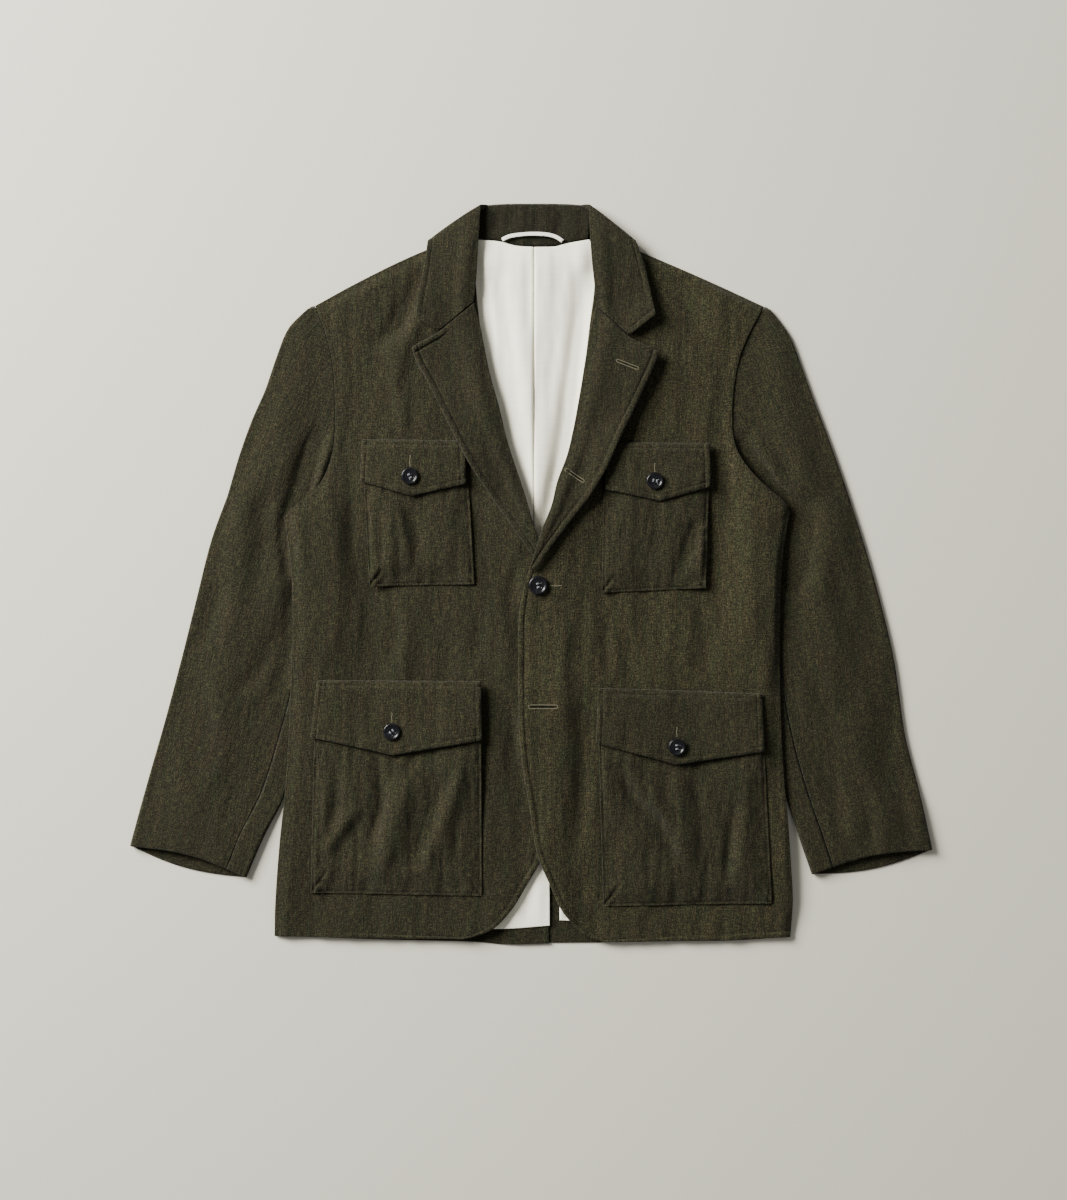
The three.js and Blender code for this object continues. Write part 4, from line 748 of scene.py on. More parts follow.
STAND_CREASES = [
    ([(22, 748), (26, 762), (30, 776)], 5, -0.9), ([(-22, 752), (-18, 764), (-20, 777)], 5, 0.7),
    ([(-46, 752), (-40, 764), (-42, 776)], 5, -0.7), ([(4, 750), (2, 763), (6, 777)], 5, -0.5),
]
LAPEL_CREASES = {
    "left": [([(-98, 625), (-84, 590), (-74, 540)], 8, -0.3), ([(-60, 640), (-62, 600), (-50, 540)], 8, 0.3)],
    "right": [([(100, 620), (86, 570), (72, 520)], 8, -0.3), ([(60, 560), (62, 500), (44, 470)], 7, 0.3)],
}
SWELLS = {  # of the body beside the armpits, where the cloth stands off the sleeve
    "left": [([(-216, 500), (-230, 452), (-226, 350), (-226, 300)], 26, 1.3)],
    "right": [([(206, 520), (222, 455), (220, 340), (222, 270)], 26, 2.8),
              ([(202, 536), (214, 508), (234, 482), (256, 450)], 13, 2.0)],
}
TAPER = 0.55  # how soon a crease reaches its full height from its ends, less is sooner
RIPPLES = ((1.5, 44, 120), (1.1, 16, 74), (0.55, 8, 30))  # height, width across the grain, length along it


def creases(x, y, table):
    """Each crease fades across its width and towards both ends, with a lower fold beside it."""
    height = np.zeros(np.shape(x))
    for points, width, rise in table:
        p = Line(points).points[::3] + np.array([FLANK * width, 0])
        best, share, side = np.full(np.shape(x), 1e9), np.zeros(np.shape(x)), np.ones(np.shape(x))
        count = len(p) - 1
        for k in range(count):
            (ax, ay), (bx, by) = p[k], p[k + 1]
            dx, dy = bx - ax, by - ay
            t = np.clip(((x - ax) * dx + (y - ay) * dy) / (dx * dx + dy * dy + 1e-9), 0, 1)
            away = np.hypot(x - ax - t * dx, y - ay - t * dy)
            closer = away < best
            best = np.where(closer, away, best)
            share = np.where(closer, (k + t) / count, share)
            side = np.where(closer, np.sign(dx * (y - ay) - dy * (x - ax)), side)
        across = best * side / width
        core, beside = np.exp(-across ** 2), np.exp(-(across - BESIDE_AT) ** 2)
        height += RISE * rise * np.sin(np.pi * np.clip(share, 0, 1)) ** TAPER * (core - BESIDE * beside)
    return height


def ripple(x, y, seed, size=1.0):
    """Uneven surface of cloth that has been worn and pressed, mostly along the grain."""
    return sum(height * noise(x, y, width * size, length * size, seed + k)
               for k, (height, width, length) in enumerate(RIPPLES))


def along_edges(plan, edges, seed, inset=STITCHED, ridge=0.7, groove=0.75, pucker=0.5):
    """Topstitched edges: a fuller edge, a sunk line of stitches and small puckers across it."""
    height = np.zeros(plan.shape[:2])
    for k, (name, away) in enumerate(zip(("left", "right", "bottom", "top"), edge_distances(plan))):
        if name not in edges:
            continue
        start, end = edges[name]
        place = run(plan, 0 if name in ("left", "right") else 1)
        share = place / place.max()
        here = smooth((share - start) / 0.02) * smooth((end - share) / 0.02)
        fuller = ridge * np.exp(-((away - inset * 0.45) / (inset * 0.38)) ** 2)
        sunk = groove * np.exp(-(away - inset) ** 2)
        past = np.maximum(away - inset, 0)
        waves = pucker * noise(place, away, 7.5, 30, seed + k) * np.exp(-(past / 8) ** 1.5)
        height += here * (fuller - sunk + waves * smooth(away / 3))
    return height


def layer(name, plan, base, thickness, material, loft=0.0, relief=0.0, drop=0.0, edge=1.0):
    """A layer of cloth on the ground; drop brings it down to the floor, edge is its thickness at the edges."""
    inner = laid(plan, base, loft)
    inner[..., 2] = inner[..., 2] * (1 - drop) + drop
    outer = inner.copy()
    pressed = edge + (1 - edge) * smooth(np.minimum.reduce(edge_distances(plan)) / PRESSED_WIDTH)
    outer[..., 2] += thickness * pressed + relief
    half = np.linalg.norm(outer - inner, axis=-1) / 2
    piece, _ = thickened(name, (outer + inner) / 2, half, np.maximum(half, LEAST_EDGE), material, plan)
    return piece, outer


def sewn(piece):
    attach(piece, "root")
    return piece


def declare(piece, node):
    """A sheet of cloth that stands for a node: hides the node's CAD part and attaches the sheet."""
    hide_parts(node)
    sewn(piece)


# Stitches
def path_on(sheet, edge, inset, start=0.0, end=1.0):
    """Points of a sheet at an inset from one of its edges."""
    if edge in ("bottom", "top"):
        sheet = np.transpose(sheet, (1, 0, 2))
    if edge in ("right", "top"):
        sheet = sheet[:, ::-1]
    away = run(sheet[..., :2], 1)
    line = np.array([[np.interp(inset, away[j], sheet[j, :, k]) for k in range(3)] for j in range(len(sheet))])
    share = run(line, 0) / run(line, 0)[-1]
    return line[(share >= start) & (share <= end)]


def stitches(name, paths, material, length=2.1, gap=0.9, width=0.5, sink=0.02):
    """Short raised threads end to end along each path, joined in one mesh."""
    vertices, faces = [], []
    for path in paths:
        along = run(path, 0)
        count = max(1, int(along[-1] / (length + gap)))
        pitch = along[-1] / count
        for k in range(count):
            marks = np.linspace(k * pitch + gap / 2, (k + 1) * pitch - gap / 2, 4)
            spine = np.stack([np.interp(marks, along, path[:, c]) for c in range(3)], 1)
            direction = spine[-1] - spine[0]
            across = np.array([-direction[1], direction[0], 0.0])
            across /= np.linalg.norm(across) + 1e-12
            start = len(vertices)
            for (x, y, z), full in zip(spine, (0.45, 1.0, 1.0, 0.45)):
                half = width / 2 * full
                for offset, rise in ((-1, -0.12), (-0.6, 0.16 * full), (0.6, 0.16 * full), (1, -0.12)):
                    vertices.append((x + across[0] * offset * half, y + across[1] * offset * half, z + rise - sink))
            for j in range(3):
                faces += [(start + j * 4 + i, start + j * 4 + i + 1, start + j * 4 + i + 5, start + j * 4 + i + 4)
                          for i in range(3)]
            faces.append((start + 3, start + 2, start + 1, start))
            faces.append((start + 12, start + 13, start + 14, start + 15))
    return new_object(name, vertices, faces, material)


# Sleeves, the lowest pieces
FOLD_RISE = 0.25  # of the upper piece over the lower one at the outer edge
MEETING = 0.03  # gap between the two pieces at the forearm seam
SLEEVE_EDGE = 0.3  # radius of their edges, in half thicknesses


def sleeve(side, armhole, head, outer_line, inner_line):
    """A flattened tube in two walls round an outer and an inner edge, opening to a bowed cuff."""
    up = np.linspace(0, 1, HEAD_ROWS)
    down = np.concatenate([np.linspace(0, 1, TUBE_ROWS)[1:-1], [0.994, 0.998, 1.0]])
    outline = np.vstack([Line(head).at(up), Line(outer_line).at(down)])
    inside = np.vstack([Line(armhole[::-1]).at(up), Line(inner_line).at(down)])
    share = np.concatenate([np.zeros(HEAD_ROWS), down])
    towards_cuff = np.concatenate([up - 1, down])
    tube = towards_cuff > 0
    span = inside - outline
    width = np.linalg.norm(span, axis=1) - 0.5
    across = span / np.linalg.norm(span, axis=1)[:, None]
    along = np.gradient(outline, axis=0) + np.gradient(inside, axis=0)
    along /= np.linalg.norm(along, axis=1)[:, None]
    cuff = smooth((share - CUFF_START) / (CUFF_OPEN - CUFF_START))
    pressed = (SLEEVE_PRESSED + (CUFF_RISE - SLEEVE_PRESSED) * cuff)[:, None]
    ats, crowns, seams = zip(*SLEEVE_BELOW)
    crown = (np.interp(share, ats, crowns) * np.clip(towards_cuff + 1, 0, 1))[:, None]
    middle = pressed / 2
    bow = (CUFF_BOW * smooth((share - 0.85) / 0.15))[:, None]
    half = CLOTH / 2
    wide = width[:, None]
    fold = np.minimum(middle - half, wide * 0.4)
    end = np.where(tube, np.minimum(width * np.interp(share, ats, seams), width - fold[:, 0]), width)[:, None]
    in_tube = tube[:, None]

    def high(at):
        arch = np.sin(np.pi * np.clip(at / (wide * CROWN_SHARE), 0, 1)) ** 2
        return pressed - half + crown * arch

    def place(at, z, upper):
        bowed = (bow * np.sin(np.pi * np.clip(at / wide, 0, 1)) * (-1 if upper else 1))[..., None]
        plan = outline[:, None] + across[:, None] * at[..., None] + along[:, None] * bowed
        return np.dstack([plan, z])

    def folds(x, y):
        unevenness = ripple(x, y, 49 if side == "right" else 40, 1.2)
        return creases(x, y, SLEEVE_CREASES[side]) + SLEEVE_RIPPLE * unevenness

    def build(name, sheet, at, facing):
        back_up = np.broadcast_to(-run(outline, 0)[:, None], at.shape)
        grain = np.dstack([at, back_up]) + (300 if side == "left" else 900)
        return thickened(name + side, sheet, half, half * SLEEVE_EDGE, sleeve_cloth[side], grain, facing)

    turn = np.linspace(0, np.pi / 2, 7)
    at_turn = fold * (1 - np.cos(turn))[None]
    at_flat = fold + (end - np.where(in_tube, MEETING, 0) - fold) * steps(130, STEP)[1:][None]
    at = np.hstack([at_turn, at_flat])
    z_low = middle + FOLD_RISE
    z_turn = z_low + (high(np.zeros_like(wide)) - z_low) * np.sin(turn)[None]
    top = place(at, np.hstack([z_turn, high(at_flat)]), True)
    from_seam = wide - at
    free = np.where(in_tube, 1.0, 0.35 + 0.65 * smooth(from_seam / 4))
    lowest = np.where(in_tube, top[..., 2] * 0.45, CLOTH * 0.8)
    raised = top[..., 2] + folds(top[..., 0], top[..., 1]) * smooth(at / 9.0) * free
    top[..., 2] = np.maximum(raised, lowest)
    down_run = run(top[..., :2], 0)
    puckers = 0.45 * noise(down_run, from_seam, 8, 30, 3) * np.exp(-(from_seam / 9) ** 2)
    hem = 0.3 * np.exp(-((down_run[-1:] - down_run - 12) / 5) ** 2)
    top[..., 2] += np.where(in_tube, 0, puckers) + hem
    facing = -1 if side == "left" else 1
    top_piece, top_outer = build("sleeve_top_cloth_", top, at, facing)

    quarter = np.linspace(0, np.pi / 2, 5)
    low_turn = fold * (1 - np.cos(quarter))[None]
    z_turn = middle - FOLD_RISE - (middle - FOLD_RISE - half) * np.sin(quarter)[None]
    last = wide - fold
    low_end = np.where(in_tube, last, wide - 0.4)
    low_flat = fold + (low_end - fold) * np.linspace(0, 1, 22)[1:][None]
    lower = place(np.hstack([low_turn, low_flat]), np.hstack([z_turn, np.full_like(low_flat, half)]), False)
    ring = np.linspace(0, np.pi / 2, 6)
    out_at, out_z = last + fold * np.sin(ring[1:])[None], middle - (middle - half) * np.cos(ring[1:])[None]
    up_at, up_z = last + fold * np.cos(ring[1:])[None], middle + (high(wide) - middle) * np.sin(ring[1:])[None]
    wrap = last + (end + MEETING - last) * np.linspace(0, 1, 9)[1:][None]
    back = np.hstack([place(out_at, out_z, False), place(up_at, up_z, True), place(wrap, high(wrap), True)])
    under = np.hstack([lower, back])
    beyond = np.arange(under.shape[1]) - lower.shape[1] - len(ring) + 1
    lifted = under[..., 2] + folds(under[..., 0], under[..., 1]) * smooth(beyond / 4.0)[None]
    under[..., 2] = np.where(beyond[None] >= 0, np.maximum(lifted, half + 1), under[..., 2])
    sideways = np.dstack([across[:, None], np.zeros((len(width), 1, 1))])
    folded = lower[:, -1:] + np.linspace(0.01, 0.3, back.shape[1])[None, :, None] * sideways
    mix = np.clip(tube.cumsum() / 3.0, 0, 1)[:, None, None]
    under = under * mix + np.hstack([lower, folded]) * (1 - mix)
    under_at = np.hstack([low_turn, low_flat, out_at, up_at, wrap])
    under_piece, under_outer = build("sleeve_under_cloth_", under, under_at, -facing)
    stamp(top_outer[HEAD_ROWS - 2:])
    stamp(under_outer[HEAD_ROWS - 2:])
    return top_piece, under_piece


sleeves = {"left": sleeve("left", ARMHOLE_LEFT, SLEEVE_LEFT_HEAD, SLEEVE_LEFT_OUTER, SLEEVE_LEFT_INNER),
           "right": sleeve("right", ARMHOLE_RIGHT, SLEEVE_RIGHT_HEAD, SLEEVE_RIGHT_OUTER, SLEEVE_RIGHT_INNER)}

# Collar: the leaves' plan and the fall behind the neck
FALL_ROWS = 44
LEAF_NEAR_END = 11  # rows that a fine leaf does without where it folds
leaf_us = steps(56, 3.2 * COARSE)
leaf_vs = np.concatenate([steps(105, 3.6)[:-LEAF_NEAR_END], [1.0]])
leaf_left = patch(LEAF_LEFT_ROLL, LEAF_LEFT_EDGE, Joined((LEAF_LEFT_END, 2 / 3), (LEAF_LEFT_NOTCH, 1 / 3)),
                  LEAF_LEFT_FOLD, leaf_us, leaf_vs)
leaf_right = patch(LEAF_RIGHT_ROLL, LEAF_RIGHT_EDGE, Joined((LEAF_RIGHT_END, 2 / 3), (LEAF_RIGHT_NOTCH, 1 / 3)),
                   LEAF_RIGHT_FOLD, leaf_us, leaf_vs)
fall_marks = np.linspace(0, 1, FALL_ROWS)
on_roll, on_edge = (Line([row[k:k + 2] for row in FALL]).at(fall_marks)[:, None] for k in (0, 2))
fall = on_roll * (1 - leaf_us[None, :, None]) + on_edge * leaf_us[None, :, None]
fall = np.dstack([fall, np.full(fall.shape[:2], CLOTH / 2)])
stamp(fall + np.array([0, 0, CLOTH / 2]))

# Back, lining and collar stand
side_left = Joined((SIDE_LEFT, SIDE_SHARE), (ARMHOLE_LEFT, 1 - SIDE_SHARE))
side_right = Joined((SIDE_RIGHT, SIDE_SHARE), (ARMHOLE_RIGHT, 1 - SIDE_SHARE))
back_us, back_vs = steps(285, 6 * COARSE, near=FEW), steps(745, 7 * COARSE, near=FEW)
back_right = patch(Joined((VENT_RIGHT, VENT_SHARE), (CENTRE_RIGHT, 1 - VENT_SHARE)), side_right, HEM_BACK_RIGHT,
                   Joined((NECK_RIGHT, 4 / 9), (SHOULDER_RIGHT[::-1], 5 / 9)), back_us, back_vs)
back_left = patch(side_left, Joined((VENT_LEFT, VENT_SHARE), (CENTRE_LEFT, 1 - VENT_SHARE)), HEM_BACK_LEFT,
                  Joined((SHOULDER_LEFT, 5 / 9), (NECK_LEFT, 4 / 9)), back_us, back_vs)
back_right_piece, back_right_top = layer("back_cloth_right", back_right, ground(), BACK_CLOTH, back_cloth)
stamp(back_right_top)
back_left_piece, back_left_top = layer("back_cloth_left", back_left, ground(), BACK_CLOTH, back_cloth)
stamp(back_left_top)

lining_us, lining_vs = steps(140, 3.4 * COARSE, near=FEW), steps(720, 5 * COARSE, near=FEW)
lining_right = patch(LINING_RIGHT_INNER, LINING_RIGHT_OUTER, LINING_RIGHT_HEM, LINING_RIGHT_NECK,
                     lining_us, lining_vs)
lining_left = patch(LINING_LEFT_OUTER, LINING_LEFT_INNER, LINING_LEFT_HEM, LINING_LEFT_NECK, lining_us, lining_vs)
NECK_OPEN = (420, 760)  # y between which the lining swells in the open neck
NECK_EDGE = {side: ([y for _, y in roll], [x for x, _ in roll])
             for side, roll in (("left", ROLL_LEFT), ("right", ROLL_RIGHT))}


def lining_relief(plan, side, seed, centre, roll):
    """Wrinkles held at the seams, a swell in the open neck and a puckered centre seam."""
    x, y = plan[..., 0], plan[..., 1]
    bottom, top = edge_distances(plan)[2:]
    wrinkles = creases(x, y, LINING_CREASES[side]) + 0.55 * ripple(x, y, seed, 0.8)
    puckers = 0.25 * noise(run(plan, 0), centre, 9, 40, 6) * np.exp(-(centre / 8) ** 2)
    seam = puckers - 0.05 * np.exp(-(centre / 2.5) ** 2)
    held = smooth(top / 10) * smooth(bottom / 6) * smooth(centre / 3)
    beside = (x > np.interp(y, *NECK_EDGE["left"])) & (x < np.interp(y, *NECK_EDGE["right"]))
    swell = LINING_SWELL * smooth(distance_to(x, y, Line(roll)) / 16) * smooth((NECK_OPEN[1] - y) / 40)
    return wrinkles * held + np.where(beside & (y > NECK_OPEN[0]), swell, 0) + seam


on_back = ground()
right_relief = lining_relief(lining_right, "right", 25, edge_distances(lining_right)[0], ROLL_RIGHT)
lining_right_piece, lining_right_top = layer("lining_cloth_right", lining_right, on_back, LINING, lining_cloth,
                                             relief=right_relief)
left_relief = lining_relief(lining_left, "left", 20, edge_distances(lining_left)[1], ROLL_LEFT)
lining_left_piece, lining_left_top = layer("lining_cloth_left", lining_left, on_back, LINING, lining_cloth,
                                           relief=left_relief)

STAND_TURNS = (775.5, 784)  # y between which the stand turns down to the floor at the roll
stand = patch([STAND_FOOT[0], STAND_TOP[0]], [STAND_FOOT[-1], STAND_TOP[-1]], STAND_FOOT, STAND_TOP,
              steps(118, 3.2 * COARSE), np.linspace(0, 1, 22))
stand_x, stand_y = stand[..., 0], stand[..., 1]
turned = smooth((stand_y - STAND_TURNS[0]) / (STAND_TURNS[1] - STAND_TURNS[0]))
stand_relief = 0.5 * ripple(stand_x, stand_y, 30, 0.5) + creases(stand_x, stand_y, STAND_CREASES)
stand_piece, stand_top = layer("collar_stand_cloth", stand, on_back, CLOTH, shaded_stand_cloth, relief=stand_relief,
                               drop=turned)
stamp(lining_right_top)
stamp(lining_left_top)
stamp(stand_top)

# Hanger loop: a flat tape bowed over the neck seam
loop = Line(RIBBON).at(np.linspace(0, 1, 60))
way = np.gradient(loop, axis=0)
way /= np.linalg.norm(way, axis=1)[:, None]
sideways = np.stack([-way[:, 1], way[:, 0]], 1)
widths = np.linspace(-0.5, 0.5, 9) * RIBBON_WIDTH
tape = loop[None] + sideways[None] * widths[:, None, None]
tape_relief = 0.12 * np.exp(-((np.abs(widths) - 1.5) / 0.5) ** 2)[:, None] * np.ones((1, len(loop)))
tape_piece, tape_top = layer("hanger_loop_tape", tape, ground(), RIBBON_THICK, ribbon_cloth, loft=0.25,
                             relief=tape_relief)


# Fronts: the side seam and the shoulder seam round down to the back
def front_relief(plan, side, seed, side_seam, shoulder, armhole):
    """Loft of a front with its wrinkles, and the relief of its armhole seam."""
    x, y = plan[..., 0], plan[..., 1]
    from_seam = np.minimum(distance_to(x, y, side_seam), distance_to(x, y, shoulder))
    rounding = smooth(from_seam / EDGE_ROLL[side])
    from_arm = distance_to(x, y, armhole)
    wrinkles = creases(x, y, CREASES["front_" + side]) + ripple(x, y, seed)
    swell = creases(x, y, SWELLS[side])
    puckers = 0.5 * noise(y, from_arm, 9, 40, 5) * np.exp(-(from_arm / 9) ** 2)
    seam_line = -0.5 * np.exp(-(from_arm / 1.6) ** 2)
    return rounding * (FRONT_LOFT + swell + wrinkles * smooth(from_arm / 12) * rounding), puckers + seam_line


front_us, front_vs = steps(335, STEP), steps(740, STEP)
front_left = patch(side_left, Joined((EDGE_LEFT, SIDE_SHARE), (ROLL_LEFT, 1 - SIDE_SHARE)), HEM_FRONT_LEFT,
                   SHOULDER_LEFT, front_us, front_vs)
loft, seams = front_relief(front_left, "left", 1, SIDE_LEFT, SHOULDER_LEFT, ARMHOLE_LEFT)
fine = along_edges(front_left, {"right": (0.0, 0.7), "bottom": (0.25, 1.0)}, 50)
front_left_piece, front_left_top = layer("front_cloth_left", front_left, ground(), CLOTH, front_cloth["left"],
                                         loft=loft, relief=seams + fine)
stamp(front_left_top)

# Buttons
BUTTON_PROFILE = [  # radius and height, in shares
    (0, 0), (0.8, 0), (0.92, 0.06), (0.985, 0.22), (1, 0.45), (0.985, 0.7), (0.945, 0.88), (0.89, 0.98),
    (0.83, 1.0), (0.77, 0.96), (0.72, 0.84), (0.68, 0.72), (0.62, 0.66), (0.5, 0.64), (0.3, 0.66), (0, 0.68),
]
THREAD_PROFILE = [(0, -1.2), (0.1, -0.1), (0.5, 0.22), (0.9, -0.1), (1, -1.2)]  # share of the way, height
THREAD_SIDES = 6
STRANDS = (-0.42, 0.42)
THREAD_WIDE, THREAD_HIGH = 0.36, 0.34
THREAD_AT = 0.72  # share of a button's height at which its thread lies
RING_POINTS = 25


def turned_disc(diameter, thick):
    """A sewn button: a turned disc with a raised rim, a dished middle and four holes."""
    sides = BUTTON_SIDES
    vertices, faces = [], []
    for share, height in BUTTON_PROFILE:
        radius = max(share, 0.001) * diameter / 2
        for k in range(sides):
            angle = 2 * math.pi * k / sides
            vertices.append((radius * math.cos(angle), radius * math.sin(angle), height * thick))
    for j in range(len(BUTTON_PROFILE) - 1):
        for k in range(sides):
            a, b = j * sides + k, j * sides + (k + 1) % sides
            faces.append((a, b, b + sides, a + sides))
    faces.append(tuple(range(sides))[::-1])
    faces.append(tuple(range((len(BUTTON_PROFILE) - 1) * sides, len(BUTTON_PROFILE) * sides)))
    mesh = bpy.data.meshes.new("button")
    mesh.from_pydata((np.array(vertices) * MM).tolist(), [], faces)
    mesh.update()
    disc = bpy.data.objects.new("button", mesh)
    bpy.context.scene.collection.objects.link(disc)
    for dx, dy in ((1, 1), (1, -1), (-1, 1), (-1, -1)):
        bpy.ops.mesh.primitive_cylinder_add(vertices=20, radius=HOLE_RADIUS * MM, depth=thick * 4 * MM,
                                            location=(dx * HOLE_OFF * MM, dy * HOLE_OFF * MM, 0))
        hole = bpy.context.object
        cut = disc.modifiers.new("hole", "BOOLEAN")
        cut.operation, cut.solver, cut.object = "DIFFERENCE", "EXACT", hole
        bpy.context.view_layer.update()
        made = bpy.data.meshes.new_from_object(disc.evaluated_get(bpy.context.evaluated_depsgraph_get()))
        disc.modifiers.clear()
        disc.data = made
        bpy.data.objects.remove(hole)
    result = disc.data
    bpy.data.objects.remove(disc)
    return result


DISCS = {diameter: turned_disc(diameter, BUTTON_THICK) for diameter in (FLAP_BUTTON, FRONT_BUTTON)}


def sewing_thread(name, bars):
    """Two strands side by side from hole to hole, for each pair of holes."""
    vertices, faces = [], []
    for start_point, end_point in bars:
        span = end_point - start_point
        direction = span / np.linalg.norm(span)
        across = np.array([-direction[1], direction[0], 0])
        for strand in STRANDS:
            start = len(vertices)
            for share, rise in THREAD_PROFILE:
                middle = start_point + span * share + across * strand
                for k in range(THREAD_SIDES):
                    angle = 2 * math.pi * k / THREAD_SIDES
                    x, y, z = middle + across * THREAD_WIDE * math.cos(angle)
                    vertices.append((x, y, z + rise + THREAD_HIGH * math.sin(angle)))
            for j in range(len(THREAD_PROFILE) - 1):
                for k in range(THREAD_SIDES):
                    a, b = start + j * THREAD_SIDES + k, start + j * THREAD_SIDES + (k + 1) % THREAD_SIDES
                    faces.append((a, b, b + THREAD_SIDES, a + THREAD_SIDES))
    return new_object(name, vertices, faces, button_thread)


def button(node, at, diameter, thick, turn):
    """A button seated on the cloth under it, with its sewing thread."""
    at_x, at_y = at
    radius = diameter / 2
    angles = np.linspace(0, 2 * np.pi, RING_POINTS)
    c, s = math.cos(turn), math.sin(turn)

    def circle(share):
        return at_x + share * radius * np.cos(angles), at_y + share * radius * np.sin(angles)

    def turned_point(x, y, z):
        return np.array([at_x + x * c - y * s, at_y + x * s + y * c, z])

    seat = max(value_at(reached, *circle(share)).max() for share in (0, 0.5, 1)) + SEAM
    mesh = DISCS[diameter].copy()
    points = np.zeros(len(mesh.vertices) * 3)
    mesh.vertices.foreach_get("co", points)
    x, y, z = points.reshape(-1, 3).T
    placed = np.stack([x * c - y * s + at_x * MM, x * s + y * c + at_y * MM,
                       z * (thick / BUTTON_THICK) + seat * MM], 1) + SHIFT
    mesh.vertices.foreach_set("co", placed.ravel())
    mesh.polygons.foreach_set("use_smooth", [True] * len(mesh.polygons))
    mesh.materials.clear()
    mesh.materials.append(horn_material)
    mesh.update()
    piece = bpy.data.objects.new("horn_" + node, mesh)
    bpy.context.scene.collection.objects.link(piece)
    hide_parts(node)
    sewn(piece)
    top = np.full(RING_POINTS, seat + thick)
    stamp(np.stack([np.column_stack([*circle(share), top]) for share in (0.01, 0.5, 1)]))
    z = seat + thick * THREAD_AT + 0.3
    bars = [(turned_point(-HOLE_OFF, off, z), turned_point(HOLE_OFF, off, z)) for off in (-HOLE_OFF, HOLE_OFF)]
    sewn(sewing_thread("thread_" + node, bars))


button("button_front_lower", LOWER_BUTTON_AT, FRONT_BUTTON, LOWER_BUTTON_THICK, 0.3)

front_right = patch(Joined((EDGE_RIGHT, SIDE_SHARE), (ROLL_RIGHT, 1 - SIDE_SHARE)), side_right, HEM_FRONT_RIGHT,
                    SHOULDER_RIGHT[::-1], front_us, front_vs)
loft, seams = front_relief(front_right, "right", 11, SIDE_RIGHT, SHOULDER_RIGHT, ARMHOLE_RIGHT)
fine = along_edges(front_right, {"left": (0.0, 0.66), "bottom": (0.0, 0.8)}, 60)
front_right_piece, front_right_top = layer("front_cloth_right", front_right, ground(), CLOTH,
                                           front_cloth["right"], loft=loft, relief=seams + fine)
stamp(front_right_top)

# Patch pockets: full in the middle, creased towards their lower corners
CORNER_REACH = {"chest": 18, "lower": 26}  # height over which a corner's crease runs
ALL_ROUND = dict.fromkeys(("left", "right", "bottom", "top"), (0, 1))
OPEN_TOP = dict.fromkeys(("left", "right", "bottom"), (0, 1))


def corner_crease(x, y, corner, towards, reach):
    """A trough with a ridge at each side, from a corner into the pocket."""
    dx, dy = towards * reach * 0.72, reach
    from_x, from_y = x - corner[0], y - corner[1]
    t = np.clip((from_x * dx + from_y * dy) / (dx * dx + dy * dy), 0, 1)
    away = np.hypot(from_x - t * dx, from_y - t * dy)
    return (0.8 * np.exp(-((away - 3.6) / 2.2) ** 2) - 1.7 * np.exp(-(away / 1.6) ** 2)) * (1 - 0.3 * t)


on_fronts = ground()
bags, bag_plans = {}, {}
for n, (name, (bl, br, tr, tl)) in enumerate(BAGS.items()):
    us, vs = steps(math.dist(bl, br), 2.0 * COARSE), steps(math.dist(bl, tl), 2.2 * COARSE)
    plan = patch([bl, tl], [br, tr], [bl, br], [tl, tr], us, vs)
    x, y = plan[..., 0], plan[..., 1]
    left, right, bottom, _ = edge_distances(plan)
    puff = smooth(np.minimum(left, right) / 22) * smooth(bottom / 26)
    under_flap = 1 - 0.55 * smooth((vs[:, None] - 0.62) / 0.3)
    wrinkles = creases(x, y, CREASES["pocket_" + name]) + 0.8 * ripple(x, y, 60 + 3 * n, 0.6)
    held = POCKET_CRUMPLE * smooth(np.minimum.reduce([left, right, bottom]) / 8)
    fine = along_edges(plan, OPEN_TOP, 70 + n, inset=BAG_STITCHED, ridge=0.3, groove=0.7, pucker=1.0)
    for corner, towards in ((bl, 1), (br, -1)):
        fine += corner_crease(x, y, corner, towards, CORNER_REACH[name.split("_")[0]])
    bags[name] = layer("pocket_cloth_" + name, plan, on_fronts, BAG_CLOTH, small_cloth,
                       loft=POCKET_PUFF * puff * under_flap + wrinkles * held, relief=fine, edge=0.4)
    bag_plans[name] = plan
for _, top in bags.values():
    stamp(top)

# Flaps, each pointed in the middle of its lower edge
on_bags = ground()
flaps = {}
for n, (name, (bl, tip, br, tr, tl, _)) in enumerate(FLAPS.items()):
    us = np.unique(np.concatenate([steps(math.dist(bl, br), 2.2 * COARSE), [0.5]]))
    vs = steps(math.dist(bl, tl), 2.2 * COARSE)
    plan = patch([bl, tl], [br, tr], Joined(([bl, tip], 0.5), ([tip, br], 0.5)), [tl, tr], us, vs)
    x, y = plan[..., 0], plan[..., 1]
    from_top = edge_distances(plan)[3]
    wave = 0.9 * noise(x, y, 22, 60, 80 + n) * smooth(from_top / 14) + creases(x, y, CREASES["flap_" + name])
    fine = along_edges(plan, ALL_ROUND, 90 + n, inset=FLAP_STITCHED, groove=0.8, pucker=0.9)
    flaps[name] = layer("flap_cloth_" + name, plan, on_bags, DOUBLE, small_cloth,
                        loft=FLAP_LOFT * smooth(from_top / 10) + wave * 0.7,
                        relief=fine + 0.25 * ripple(x, y, 84 + n, 0.5), edge=0.55)
for _, top in flaps.values():
    stamp(top)

# Lapels and collar leaves lie side by side on the fronts, parted by the gorge seam
on_flaps = ground()
ROLLS = {"left": Line(LAPEL_LEFT_ROLL + LEAF_LEFT_ROLL), "right": Line(LAPEL_RIGHT_ROLL + LEAF_RIGHT_ROLL)}


def roll_puff(share):
    return ROLL_PUFF * np.sin(np.pi * np.minimum(1, share / ROLL_SHARE)) ** 2


